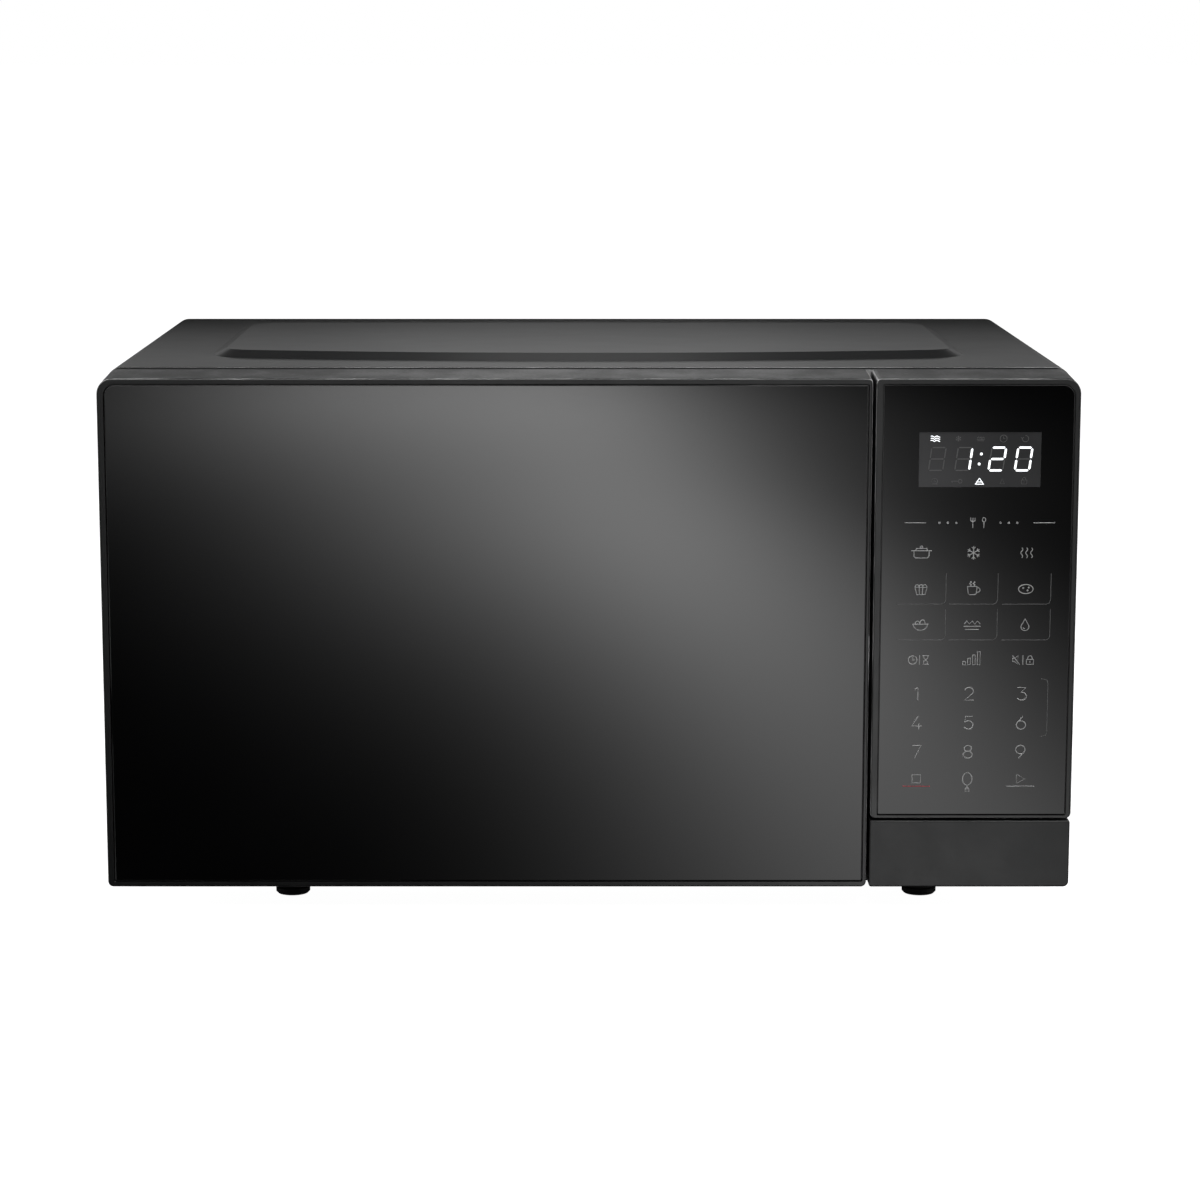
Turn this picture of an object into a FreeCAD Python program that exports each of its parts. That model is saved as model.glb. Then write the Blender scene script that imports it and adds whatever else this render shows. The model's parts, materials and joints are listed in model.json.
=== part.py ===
"""Countertop microwave oven with a push-button door, as separate named pieces in millimetres.

Frame: +Z up, the front faces -Y, the origin is the middle of the footprint at the feet's underside.
Each function makes the pieces of one group; write() saves a piece as parts/NAME.step.
"""
import FreeCAD, Part
import math
import os

V = FreeCAD.Vector
X_AXIS, Y_AXIS, Z_AXIS = V(1, 0, 0), V(0, 1, 0), V(0, 0, 1)

# Overall size
WIDTH = 440.0
DEPTH = 324.0
FRONT = -DEPTH / 2
REAR = DEPTH / 2
DOOR_BOTTOM = 13.5          # floor to the door's lower edge
DOOR_TOP_FRONT = 246.6      # the door's top surface slopes up towards the case
DOOR_TOP_REAR = 248.1
DOOR_DEPTH = 30.0
CORNER = 7.0                # upper outer corners of the door and the control panel

# Case
CASE_HALF = 219.8
CASE_TOP = 248.8
CASE_CORNER = 7.5
CASE_REAR = 148.0
SEAM = 1.0                  # gap between door and case
SHEET = 0.8
FRAME_CORNER = CASE_CORNER - 0.7    # upper corners of the frame and the rear panel inside the case
BASE = 9.0                  # underside of the base plate
PLATEAU_RISE = 3.3          # raised panel pressed into the top
CASE_FRONT = FRONT + DOOR_DEPTH + SEAM
DOOR_REAR = FRONT + DOOR_DEPTH
PANEL_PLATE = 1.2           # thickness of the front frame
FRAME_BACK = CASE_FRONT + PANEL_PLATE
BACK_PLATE = CASE_REAR - 2 * SHEET

# Door and control panel, side by side
DOOR_LEFT, DOOR_RIGHT = -WIDTH / 2, 127.0
PANEL_LEFT, PANEL_RIGHT = 128.3, WIDTH / 2
GLASS_LEFT, GLASS_RIGHT = -216.6, 125.0
GLASS_LOW, GLASS_HIGH = 16.3, 243.7
GLASS_THICK = 4.0
GROOVE = 0.4                # dark groove round the glass and round the overlay
OVERLAY_LEFT, OVERLAY_RIGHT = 131.7, 217.2
OVERLAY_LOW = 47.4
OVERLAY_FRONT = FRONT + 0.2
WINDOW = (147.9, 202.5, 197.8, 222.6)   # display window: x low, x high, z low, z high

# Hinge: axis inside the door's rear left edge
HINGE_X, HINGE_Y = -214.0, CASE_FRONT - 9.2
HINGE_PIN_R = 2.2
RUNNING = 0.05              # radial clearance of a running fit
HINGE_LEVELS = ((22.0, 14.6, 36.0), (236.0, 224.0, 245.2))   # tab underside, boss low, boss high

# Oven cavity
CAVITY_LEFT, CAVITY_RIGHT = -198.0, 97.0
CAVITY_FLOOR, CAVITY_ROOF = 31.0, 228.0
CAVITY_BACK = 135.0
CAVITY_CORNER = 6.0

# Turntable
TURN_X, TURN_Y = -50.5, 5.0
TRAY_R = 122.5
TRACK_R = 85.0
WHEEL_R = 7.5
WHEEL_Z = CAVITY_FLOOR + 0.3 + WHEEL_R
TRAY_UNDER = WHEEL_Z + WHEEL_R + 0.3

# Door opener
BUTTON_TOP = 44.6
BUTTON_SIDE = 219.7
BUTTON_TRAVEL = 6.0
STEM_X, STEM_Z = 134.5, 30.0
LEVER_Y, LEVER_Z = -126.0, 52.0
LEVER_PIN_R = 2.0
HOOK_X = 112.0
HOOK_LEVELS = (66.0, 206.0)     # underside of each hook arm
HOOK_TIP = -106.0

# Cooling fan
FAN_X, FAN_Z = 160.0, 150.0
FAN_R = 42.0

# Magnetron axis
MAG_Y, MAG_Z = 65.0, 157.0

# Grill element below the cavity's roof
ELEMENT_R = 3.0
ELEMENT_Z = 219.0
ELEMENT_ROWS = (-60.0, -18.0, 32.0, 74.0)

# Inside cover of the door, and the hole in the door frame that takes it
COVER_X, COVER_Z = (-206.0, 104.5), (21.0, 239.0)
COVER_GAP = 0.3

# Return springs of the button
SPRING_PLACES = (160.0, 196.0)
SPRING_R, SPRING_WIRE, SPRING_TURNS = 4.5, 0.8, 5

# Cord gland in the rear panel
GLAND_X, GLAND_Z = 192.0, 62.0
GLAND_BORE = 3.6

# High-voltage transformer and capacitor
CORE_X, CORE_Y = (130.0, 200.0), (-5.0, 35.0)
CORE_TOP = 82.0
COIL_SPANS = ((25.0, 45.0), (49.0, 69.0))
CAPACITOR_Y, CAPACITOR_Z = (82.0, 130.0), (13.0, 43.0)
CAPACITOR_CORNER = 14.9

# Mains filter board
FILTER_X, FILTER_Y = (132.0, 202.0), (-112.0, -52.0)
FILTER_LOW, FILTER_TOP = 20.0, 21.6

# Control board
BOARD_X, BOARD_Z = (134.0, 214.0), (60.0, 238.0)
BOARD_FRONT, BOARD_BACK = -152.0, -150.4

os.makedirs("parts", exist_ok=True)


def write(name, shapes):
    """Save one piece, or several that belong together, as one file."""
    solids = []
    for shape in shapes if isinstance(shapes, list) else [shapes]:
        solids.extend(shape.Solids)
    result = solids[0] if len(solids) == 1 else Part.makeCompound(solids)
    if not result.isValid():
        raise ValueError(name + " is not a valid solid")
    result.exportStep("parts/" + name + ".step")


def prism(axis, u, v, w, radii=(0, 0, 0, 0)):
    """Rectangle u by v pushed from w[0] to w[1] along axis, each corner with its own radius.

    u and v are spans along the two other axes in X, Y, Z order. The corners go round from
    (low, low) through (high, low) and (high, high) to (low, high).
    """
    place = {
        "x": lambda a, b: V(w[0], a, b),
        "y": lambda a, b: V(a, w[0], b),
        "z": lambda a, b: V(a, b, w[0]),
    }[axis]
    length = w[1] - w[0]
    push = {"x": V(length, 0, 0), "y": V(0, length, 0), "z": V(0, 0, length)}[axis]
    return Part.Face(outline(u, v, radii, place)).extrude(push)


def outline(u, v, radii, place):
    """Closed wire of a rectangle with rounded corners, in the plane that place() maps it to."""
    corners = ((u[0], v[0], 1, 1), (u[1], v[0], -1, 1), (u[1], v[1], -1, -1), (u[0], v[1], 1, -1))
    edges = []
    ends = []
    for index, (cu, cv, su, sv) in enumerate(corners):
        r = radii[index]
        before, after = (cu, cv + sv * r), (cu + su * r, cv)
        if index % 2:
            before, after = after, before
        ends.append((before, after))
        if r > 0:
            k = r * (1 - math.sqrt(0.5))
            middle = (cu + su * k, cv + sv * k)
            edges.append(Part.Arc(place(*before), place(*middle), place(*after)).toShape())
    for index in range(4):
        start, stop = ends[index][1], ends[(index + 1) % 4][0]
        edges.append(Part.LineSegment(place(*start), place(*stop)).toShape())
    return Part.Wire(Part.__sortEdges__(edges))


def box(x, y, z):
    """Plain block from three spans."""
    return Part.makeBox(x[1] - x[0], y[1] - y[0], z[1] - z[0], V(x[0], y[0], z[0]))


def rod(radius, start, axis, length):
    """Cylinder from a point along a direction."""
    return Part.makeCylinder(radius, length, V(*start), axis)


def ring(outer, inner, start, axis, length):
    """Hollow cylinder."""
    return rod(outer, start, axis, length).cut(rod(inner, start, axis, length))


def spin(points, centre):
    """Solid of revolution of an (r, height) polygon about a vertical axis through centre."""
    corners = [V(r, 0, h) for r, h in points]
    face = Part.Face(Part.makePolygon(corners + corners[:1]))
    solid = face.revolve(V(0, 0, 0), Z_AXIS, 360)
    solid.translate(V(*centre))
    return solid


def round_path(points, radius, bend):
    """Round bar along straight runs joined by arcs of one bend radius."""
    corners = [V(*p) for p in points]
    edges = []
    start = corners[0]
    for before, corner, after in zip(corners, corners[1:], corners[2:]):
        back = (before - corner).normalize()
        ahead = (after - corner).normalize()
        half = back.getAngle(ahead) / 2
        reach = bend / math.tan(half)
        middle = corner + (back + ahead).normalize() * (bend / math.sin(half) - bend)
        enter, leave = corner + back * reach, corner + ahead * reach
        edges.append(Part.LineSegment(start, enter).toShape())
        edges.append(Part.Arc(enter, middle, leave).toShape())
        start = leave
    edges.append(Part.LineSegment(start, corners[-1]).toShape())
    direction = (corners[1] - corners[0]).normalize()
    section = Part.Wire(Part.Circle(corners[0], direction, radius).toShape())
    return Part.Wire(edges).makePipeShell([section], True, False)


def coil(centre, axis, radius, wire, length, turns):
    """Helical spring of round wire, from centre along axis."""
    helix = Part.makeHelix(length / turns, length, radius)
    section = Part.Wire(Part.Circle(V(radius, 0, 0), V(0, 1, 0), wire).toShape())
    spring = Part.Wire(helix.Edges).makePipeShell([section], True, True)
    spring.Placement = FreeCAD.Placement(V(*centre), FreeCAD.Rotation(Z_AXIS, axis))
    return spring


def polygon_bar(points, x, width):
    """Bar of constant (y, z) section, from x along +X."""
    corners = [V(x, y, z) for y, z in points]
    return Part.Face(Part.makePolygon(corners + corners[:1])).extrude(V(width, 0, 0))


def edges_in_plane(shape, y):
    """Edges that lie wholly in the plane at one y."""
    return [e for e in shape.Edges if all(abs(p.y - y) < 0.001 for p in e.discretize(3))]


def slot_grid(axis, u, v, w, size, step):
    """Round-ended slots of size (length, height) on a grid that fills u by v."""
    cutters = []
    columns = int((u[1] - u[0] - size[0]) / step[0]) + 1
    rows = int((v[1] - v[0] - size[1]) / step[1]) + 1
    r = min(size) / 2 - 0.01
    for column in range(columns):
        for row in range(rows):
            low_u, low_v = u[0] + column * step[0], v[0] + row * step[1]
            span_u, span_v = (low_u, low_u + size[0]), (low_v, low_v + size[1])
            cutters.append(prism(axis, span_u, span_v, w, (r, r, r, r)))
    return Part.makeCompound(cutters)


def hole_grid(axis, first, counts, pitch, radius, w):
    """Round holes on a grid, drilled along axis from w[0] to w[1]."""
    direction = {"x": X_AXIS, "y": Y_AXIS, "z": Z_AXIS}[axis]
    cutters = []
    for column in range(counts[0]):
        for row in range(counts[1]):
            a, b = first[0] + column * pitch, first[1] + row * pitch
            start = {"x": (w[0], a, b), "y": (a, w[0], b), "z": (a, b, w[0])}[axis]
            cutters.append(rod(radius, start, direction, w[1] - w[0]))
    return Part.makeCompound(cutters)


def front_shape(left, right, low, corner_left, corner_right):
    """Thirty-deep block of the door or the panel, whose top slopes up towards the rear."""
    small = 2.5

    def section(y, top):
        radii = (small, small, corner_right, corner_left)
        return outline((left, right), (low, top), radii, lambda a, b: V(a, y, b))

    faces = [section(FRONT, DOOR_TOP_FRONT), section(DOOR_REAR, DOOR_TOP_REAR)]
    body = Part.makeLoft(faces, True, True)
    return body.makeFillet(0.9, edges_in_plane(body, FRONT))


def plateau_solid(lower, run, height, drop):
    """Raised panel of the top: its front edge bows forwards and its walls slope."""
    half, back, sag = 155.0, 65.0, 15.0
    front_middle = -78.3
    top_round = 16.0
    left, right = V(-half, front_middle + sag, 0), V(half, front_middle + sag, 0)
    bow = Part.Arc(left, V(0, front_middle, 0), right).toShape()
    back_right, back_left = V(half, back, 0), V(-half, back, 0)
    sides = [
        Part.LineSegment(right, back_right).toShape(),
        Part.LineSegment(back_right, back_left).toShape(),
        Part.LineSegment(back_left, left).toShape(),
    ]
    core = Part.Wire([bow] + sides)
    top = core.makeOffset2D(top_round - drop)
    foot = core.makeOffset2D(top_round + run - drop)
    top.translate(V(0, 0, lower + height))
    foot.translate(V(0, 0, lower))
    return Part.makeLoft([foot, top], True, True)


def make_cabinet():
    """Wrap-around cover: two sides and a top in one sheet, folded in at the back."""
    half_in = CASE_HALF - SHEET
    corner_in = CASE_CORNER - SHEET
    top_in = CASE_TOP - SHEET
    low = BASE + 1.0
    corners = (0, 0, CASE_CORNER, CASE_CORNER)
    skin = prism("y", (-CASE_HALF, CASE_HALF), (low, CASE_TOP), (CASE_FRONT, CASE_REAR), corners)
    skin = skin.makeFillet(0.5, edges_in_plane(skin, CASE_FRONT))
    run = 7.4
    raised = plateau_solid(CASE_TOP - 0.4, run, PLATEAU_RISE + 0.4, 0)
    crown = [e for e in raised.Edges if all(p.z > CASE_TOP + PLATEAU_RISE - 0.01 for p in e.discretize(3))]
    raised = raised.makeFillet(1.5, crown)
    inner_corners = (0, 0, corner_in, corner_in)
    span = (CASE_FRONT - 1, CASE_REAR - SHEET)
    room = prism("y", (-half_in, half_in), (low - 1, top_in), span, inner_corners)
    dish = plateau_solid(top_in - 0.4, run, PLATEAU_RISE + 0.4, 0.6)
    flange_window = prism("y", (-206, 206), (low - 1, 235), (CASE_REAR - 2, CASE_REAR + 1), (0, 0, 4, 4))
    shell = skin.fuse(raised).cut(room.fuse(dish)).cut(flange_window)
    left, right = (-CASE_HALF - 1, -half_in + 1), (half_in - 1, CASE_HALF + 1)
    slot, step = (24.0, 3.0), (32.0, 7.0)
    vents = [
        slot_grid("x", (44, 136), (176, 226), left, slot, step),
        slot_grid("x", (-20, 72), (30, 80), right, slot, step),
        slot_grid("x", (44, 136), (176, 226), right, slot, step),
    ]
    holes = [rod(2.0, (x, CASE_REAR - 2, z), Y_AXIS, 4) for x, z in cabinet_screw_places()]
    write("outer_cabinet", shell.cut(Part.makeCompound(vents + holes)))


def cabinet_screw_places():
    """Where the cover is screwed to the rear panel: (x, z)."""
    sides = [(side * 212.0, z) for side in (-1, 1) for z in (40.0, 130.0)]
    top = [(x, 240.5) for x in (-150.0, 0.0, 150.0)]
    return sides + top


def foot_places():
    """Foot centres: (x, y)."""
    return [(x, y) for x in (-139.0, 155.7) for y in (-117.0, 115.0)]


def make_chassis():
    """Base plate, rear panel, front frame and the oven cavity."""
    lip = 13.0
    half = CASE_HALF - SHEET - 0.1
    inside = half - SHEET
    pan = box((-half, half), (FRAME_BACK, BACK_PLATE), (BASE, BASE + lip))
    hollow_y = (FRAME_BACK + SHEET, BACK_PLATE - SHEET)
    base = pan.cut(box((-inside, inside), hollow_y, (BASE + SHEET, BASE + lip + 1)))
    rib_high = 4.0
    for x in (-185.0, 60.0):
        rib_x, rib_y = (x, x + 24.0), (-96.0, 96.0)
        rib = prism("z", rib_x, rib_y, (BASE, BASE + rib_high), (8, 8, 8, 8))
        under_x, under_y = (x + SHEET, x + 24.0 - SHEET), (-96.0 + SHEET, 96.0 - SHEET)
        under = prism("z", under_x, under_y, (BASE - 1, BASE + rib_high - SHEET), (7, 7, 7, 7))
        base = base.fuse(rib).cut(under)
    cuts = [slot_grid("z", (100, 212), (-46, -18), (BASE - 1, BASE + 1), (20, 3), (26, 7))]
    cuts += [rod(3.05, (x, y, BASE - 1), Z_AXIS, 3) for x, y in foot_places()]
    cuts += [rod(1.75, (x, y, BASE - 1), Z_AXIS, 3) for x, y in base_screw_places()]
    write("base_plate", base.cut(Part.makeCompound(cuts)))

    corners = (0, 0, FRAME_CORNER, FRAME_CORNER)
    panel_z = (BASE + SHEET + 0.2, CASE_TOP - 1)
    panel = prism("y", (-half, half), panel_z, (BACK_PLATE, CASE_REAR - SHEET), corners)
    span = (BACK_PLATE - 1, CASE_REAR)
    vents = [
        slot_grid("y", (112, 208), (104, 196), span, (14, 4), (19, 8)),
        slot_grid("y", (-190, -95), (168, 208), span, (14, 4), (19, 8)),
        rod(5.6, (GLAND_X, BACK_PLATE - 1, GLAND_Z), Y_AXIS, 4),
    ]
    vents += [rod(1.75, (x, BACK_PLATE - 1, z), Y_AXIS, 4) for x, z in cabinet_screw_places()]
    write("rear_panel", panel.cut(Part.makeCompound(vents)))

    opening_x, opening_z = (CAVITY_LEFT, CAVITY_RIGHT), (CAVITY_FLOOR, CAVITY_ROOF)
    r = CAVITY_CORNER
    frame = prism("y", (-half, half), (BASE, CASE_TOP - 1), (CASE_FRONT, FRAME_BACK), corners)
    through = (CASE_FRONT - 1, FRAME_BACK + 1)
    windows = [
        prism("y", opening_x, opening_z, through, (r, r, r, r)),
        prism("y", (146, 212), (60, 236), through, (4, 4, 4, 4)),
        box((STEM_X - 5, STEM_X + 5), through, (STEM_Z - 6, STEM_Z + 6)),
    ]
    hook_x = (HOOK_X - 6, HOOK_X + 8)
    for level in HOOK_LEVELS:
        windows.append(prism("y", hook_x, (level - 9, level + 14), through, (2, 2, 2, 2)))
    for level, _, _ in HINGE_LEVELS:
        windows.append(box((HINGE_X - 4.1, HINGE_X + 4.1), through, (level - 0.1, level + 2.1)))
    write("front_frame", frame.cut(Part.makeCompound(windows)))

    wall_x = (CAVITY_LEFT - SHEET, CAVITY_RIGHT + SHEET)
    wall_z = (CAVITY_FLOOR - SHEET, CAVITY_ROOF + SHEET)
    outer_r = r + SHEET
    tub = prism("y", wall_x, wall_z, (FRAME_BACK, CAVITY_BACK), (outer_r,) * 4)
    tub = tub.cut(prism("y", opening_x, opening_z, (FRAME_BACK - 1, CAVITY_BACK + 1), (r,) * 4))
    back = prism("y", wall_x, wall_z, (CAVITY_BACK, CAVITY_BACK + SHEET), (outer_r,) * 4)
    tub = tub.fuse(ring(14, 11, (TURN_X, TURN_Y, CAVITY_FLOOR - 0.2), Z_AXIS, 2.7))
    right, left = (CAVITY_RIGHT - 1, CAVITY_RIGHT + 2), (CAVITY_LEFT - 2, CAVITY_LEFT + 1)
    cuts = [
        rod(7, (TURN_X, TURN_Y, CAVITY_FLOOR - 2), Z_AXIS, 4),
        hole_grid("x", (-66, 186), (6, 4), 6.0, 1.6, right),
        hole_grid("x", (-20, 122), (6, 6), 6.0, 1.6, right),
        hole_grid("x", (56, 186), (8, 5), 6.0, 1.6, left),
        box(right, (MAG_Y - 30, MAG_Y + 30), (MAG_Z - 30, MAG_Z + 30)),
    ]
    for y in (ELEMENT_ROWS[0], ELEMENT_ROWS[-1]):
        cuts.append(rod(ELEMENT_R + 1.5, (CAVITY_RIGHT - 1, y, ELEMENT_Z), X_AXIS, 3))
    write("oven_cavity", [tub.cut(Part.makeCompound(cuts)), back])


def base_screw_places():
    """Screws that hold the transformer and the turntable motor from below: (x, y)."""
    transformer = [(x, y) for x in (125.5, 204.5) for y in (0.0, 30.0)]
    motor = [(TURN_X + dx, TURN_Y) for dx in (-31.0, 31.0)]
    return transformer + motor


def make_door():
    """Door: frame, glass, microwave screen and the inside cover."""
    body = front_shape(DOOR_LEFT, DOOR_RIGHT, DOOR_BOTTOM, CORNER, 2.5)
    g = GROOVE
    recess_x, recess_z = (GLASS_LEFT - g, GLASS_RIGHT + g), (GLASS_LOW - g, GLASS_HIGH + g)
    glass_back = FRONT + GLASS_THICK
    recess = prism("y", recess_x, recess_z, (FRONT - 1, glass_back), (0.8, 0.8, 0.8, 5.0 + g))
    wall_front, rim_front = glass_back + 2.4, DOOR_REAR - 2.4
    hollow = prism("y", (-217.0, 124.0), (16.5, 244.5), (wall_front, rim_front), (1, 1, 1, 9))
    window = prism("y", (-184, 92), (46, 214), (glass_back - 1, wall_front + 1), (4, 4, 4, 4))
    hole_x = (COVER_X[0] - COVER_GAP, COVER_X[1] + COVER_GAP)
    hole_z = (COVER_Z[0] - COVER_GAP, COVER_Z[1] + COVER_GAP)
    rear_hole = prism("y", hole_x, hole_z, (rim_front - 1, DOOR_REAR + 1), (4, 4, 4, 4))
    body = body.cut(recess).cut(hollow).cut(window).cut(rear_hole)
    for _, low, high in HINGE_LEVELS:
        boss = box((-218.0, -207.2), (-150.5, DOOR_REAR), (low, high))
        body = body.fuse(boss)
    rim = 5.0
    edge_x, edge_y = DOOR_LEFT + rim, DOOR_REAR - rim
    relief = box((DOOR_LEFT - 1, edge_x), (edge_y, DOOR_REAR + 1), (0, 260))
    relief = relief.cut(rod(rim, (edge_x, edge_y, -1), Z_AXIS, 262))
    cuts = [relief]
    for level, low, high in HINGE_LEVELS:
        slot_z = (level - 0.4, level + 2.4)
        cuts.append(box((DOOR_LEFT - 1, HINGE_X + 4.8), (HINGE_Y - 7.6, DOOR_REAR + 1), slot_z))
        bore = HINGE_PIN_R + RUNNING
        cuts.append(rod(bore, (HINGE_X, HINGE_Y, low + 1.9), Z_AXIS, high - low - 3.8))
    hook_x, hook_y = (HOOK_X - 3.5, HOOK_X + 3.5), (rim_front - 1, DOOR_REAR + 1)
    for level in HOOK_LEVELS:
        cuts.append(box(hook_x, hook_y, (level - 6, level + 12)))
    write("door_frame", body.cut(Part.makeCompound(cuts)))

    glass_x, glass_z = (GLASS_LEFT, GLASS_RIGHT), (GLASS_LOW, GLASS_HIGH)
    glass = prism("y", glass_x, glass_z, (FRONT, glass_back), (0.6, 0.6, 0.6, 5.0))
    write("door_glass", glass.makeChamfer(0.5, edges_in_plane(glass, FRONT)))

    pan_front, pan_back = -154.6, -136.8
    pan = prism("y", COVER_X, COVER_Z, (pan_front, pan_back), (4,) * 4)
    inner_x = (COVER_X[0] + SHEET, COVER_X[1] - SHEET)
    inner_z = (COVER_Z[0] + SHEET, COVER_Z[1] - SHEET)
    pan = pan.cut(prism("y", inner_x, inner_z, (pan_front + SHEET, pan_back - SHEET), (3,) * 4))
    pan = pan.cut(prism("y", (-192, 91), (35, 225), (pan_back - 2, pan_back + 1), (3,) * 4))
    pan = pan.cut(prism("y", (-172, 72), (60, 200), (pan_front - 1, pan_front + 1), (3,) * 4))
    write("door_choke_frame", pan)
    screen = prism("y", (-180, 80), (52, 208), (pan_front + SHEET, pan_front + SHEET + 0.5), (3,) * 4)
    write("door_screen", screen)
    write("inner_window", prism("y", (-197, 95.5), (30, 230), (-136.7, -135.7), (3,) * 4))
    cover = prism("y", COVER_X, COVER_Z, (-135.6, DOOR_REAR - 0.3), (4,) * 4)
    cover = cover.cut(prism("y", (-178, 78), (54, 206), (-137, DOOR_REAR + 1), (4,) * 4))
    write("choke_cover", cover.makeChamfer(1.2, edges_in_plane(cover, DOOR_REAR - 0.3)))


def make_hinge():
    """Two bracket tabs that reach into the door, each with its pin."""
    tabs, pins = [], []
    for level, low, high in HINGE_LEVELS:
        tab = box((HINGE_X - 4, HINGE_X + 4), (HINGE_Y, FRAME_BACK + 1.4), (level, level + 2))
        tab = tab.fuse(rod(4, (HINGE_X, HINGE_Y, level), Z_AXIS, 2))
        upright_z = (level, level + 16) if level < CASE_TOP / 2 else (level - 14, level + 2)
        upright = box((HINGE_X - 4, HINGE_X + 10), (FRAME_BACK, FRAME_BACK + 1.4), upright_z)
        tabs.append(tab.fuse(upright).cut(rod(HINGE_PIN_R, (HINGE_X, HINGE_Y, level - 1), Z_AXIS, 4)))
        pins.append(rod(HINGE_PIN_R, (HINGE_X, HINGE_Y, low + 2.4), Z_AXIS, high - low - 4.8))
    write("hinge_brackets", tabs)
    write("hinge_pins", pins)


def make_latch():
    """Spring-loaded hooks in the door, their spring and the parts that catch them."""
    bar_x = (HOOK_X - 4, HOOK_X + 4)
    hooks = box(bar_x, (-146, -140), (HOOK_LEVELS[0] - 8, HOOK_LEVELS[1] + 16))
    for level in HOOK_LEVELS:
        barb = [(-112, level), (-112, level - 5), (-109, level - 5), (HOOK_TIP, level + 1)]
        points = [(-141, level)] + barb + [(HOOK_TIP, level + 8), (-141, level + 8)]
        hooks = hooks.fuse(polygon_bar(points, HOOK_X - 2.5, 5))
    write("latch_hooks", hooks.removeSplitter())
    bar_top = HOOK_LEVELS[1] + 16
    spring_length = 244.4 - bar_top - 1.2
    write("latch_spring", coil((HOOK_X, -143, bar_top + 0.6), Z_AXIS, 3.2, 0.45, spring_length, 8))

    plate_x = (121.0, 123.4)
    board = box(plate_x, (FRAME_BACK, -92), (40, 236))
    foot = box((104, 123.4), (FRAME_BACK, FRAME_BACK + 2.4), (40, 48))
    head = box((104, 123.4), (FRAME_BACK, FRAME_BACK + 2.4), (226, 236))
    board = board.fuse(foot).fuse(head)
    for x in (104.0, 141.6):
        ear = box((x, x + 2.4), (FRAME_BACK, LEVER_Y + 5), (LEVER_Z - 6, LEVER_Z + 6))
        board = board.fuse(ear)
    board = board.fuse(box((118, 144), (FRAME_BACK, FRAME_BACK + 2.4), (57, 61)))
    board = board.cut(rod(5.2, (120, LEVER_Y, LEVER_Z), X_AXIS, 5))
    pin_hole = rod(LEVER_PIN_R, (100, LEVER_Y, LEVER_Z), X_AXIS, 50)
    write("latch_board", board.cut(pin_hole))
    write("lever_pin", rod(LEVER_PIN_R, (103.4, LEVER_Y, LEVER_Z), X_AXIS, 41.2))

    hub = rod(3.6, (108, LEVER_Y, LEVER_Z), X_AXIS, 32.0)
    paddle = box((STEM_X - 4, STEM_X + 4), (LEVER_Y - 2, LEVER_Y + 2), (STEM_Z - 5, LEVER_Z))
    root, tip = (LEVER_Y - 2, LEVER_Z), [(-113.5, 64.2), (-117.5, 65.4)]
    profile = [root, (LEVER_Y + 4, LEVER_Z)] + tip + [(LEVER_Y - 2, LEVER_Z + 4)]
    lever = hub.fuse(paddle).fuse(polygon_bar(profile, HOOK_X - 2.5, 5))
    bore = rod(LEVER_PIN_R + RUNNING, (100, LEVER_Y, LEVER_Z), X_AXIS, 50)
    write("release_lever", lever.cut(bore))

    switches = []
    for low in (56.0, 196.0, 150.0):
        behind = HOOK_TIP + 3.0
        case = box((HOOK_X - 5, HOOK_X + 5), (behind, behind + 16), (low, low + 28))
        plunger = rod(1.6, (HOOK_X, behind - 2.2, low + 14), Y_AXIS, 3)
        bracket = box((HOOK_X + 5, plate_x[0]), (behind + 4, behind + 12), (low + 10, low + 18))
        body = case.fuse(plunger).fuse(bracket)
        for dz in (4, 14, 24):
            tag = box((HOOK_X - 3, HOOK_X + 3), (behind + 16, behind + 22), (low + dz, low + dz + 0.8))
            body = body.fuse(tag)
        switches.append(body)
    write("microswitches", switches)


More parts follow.
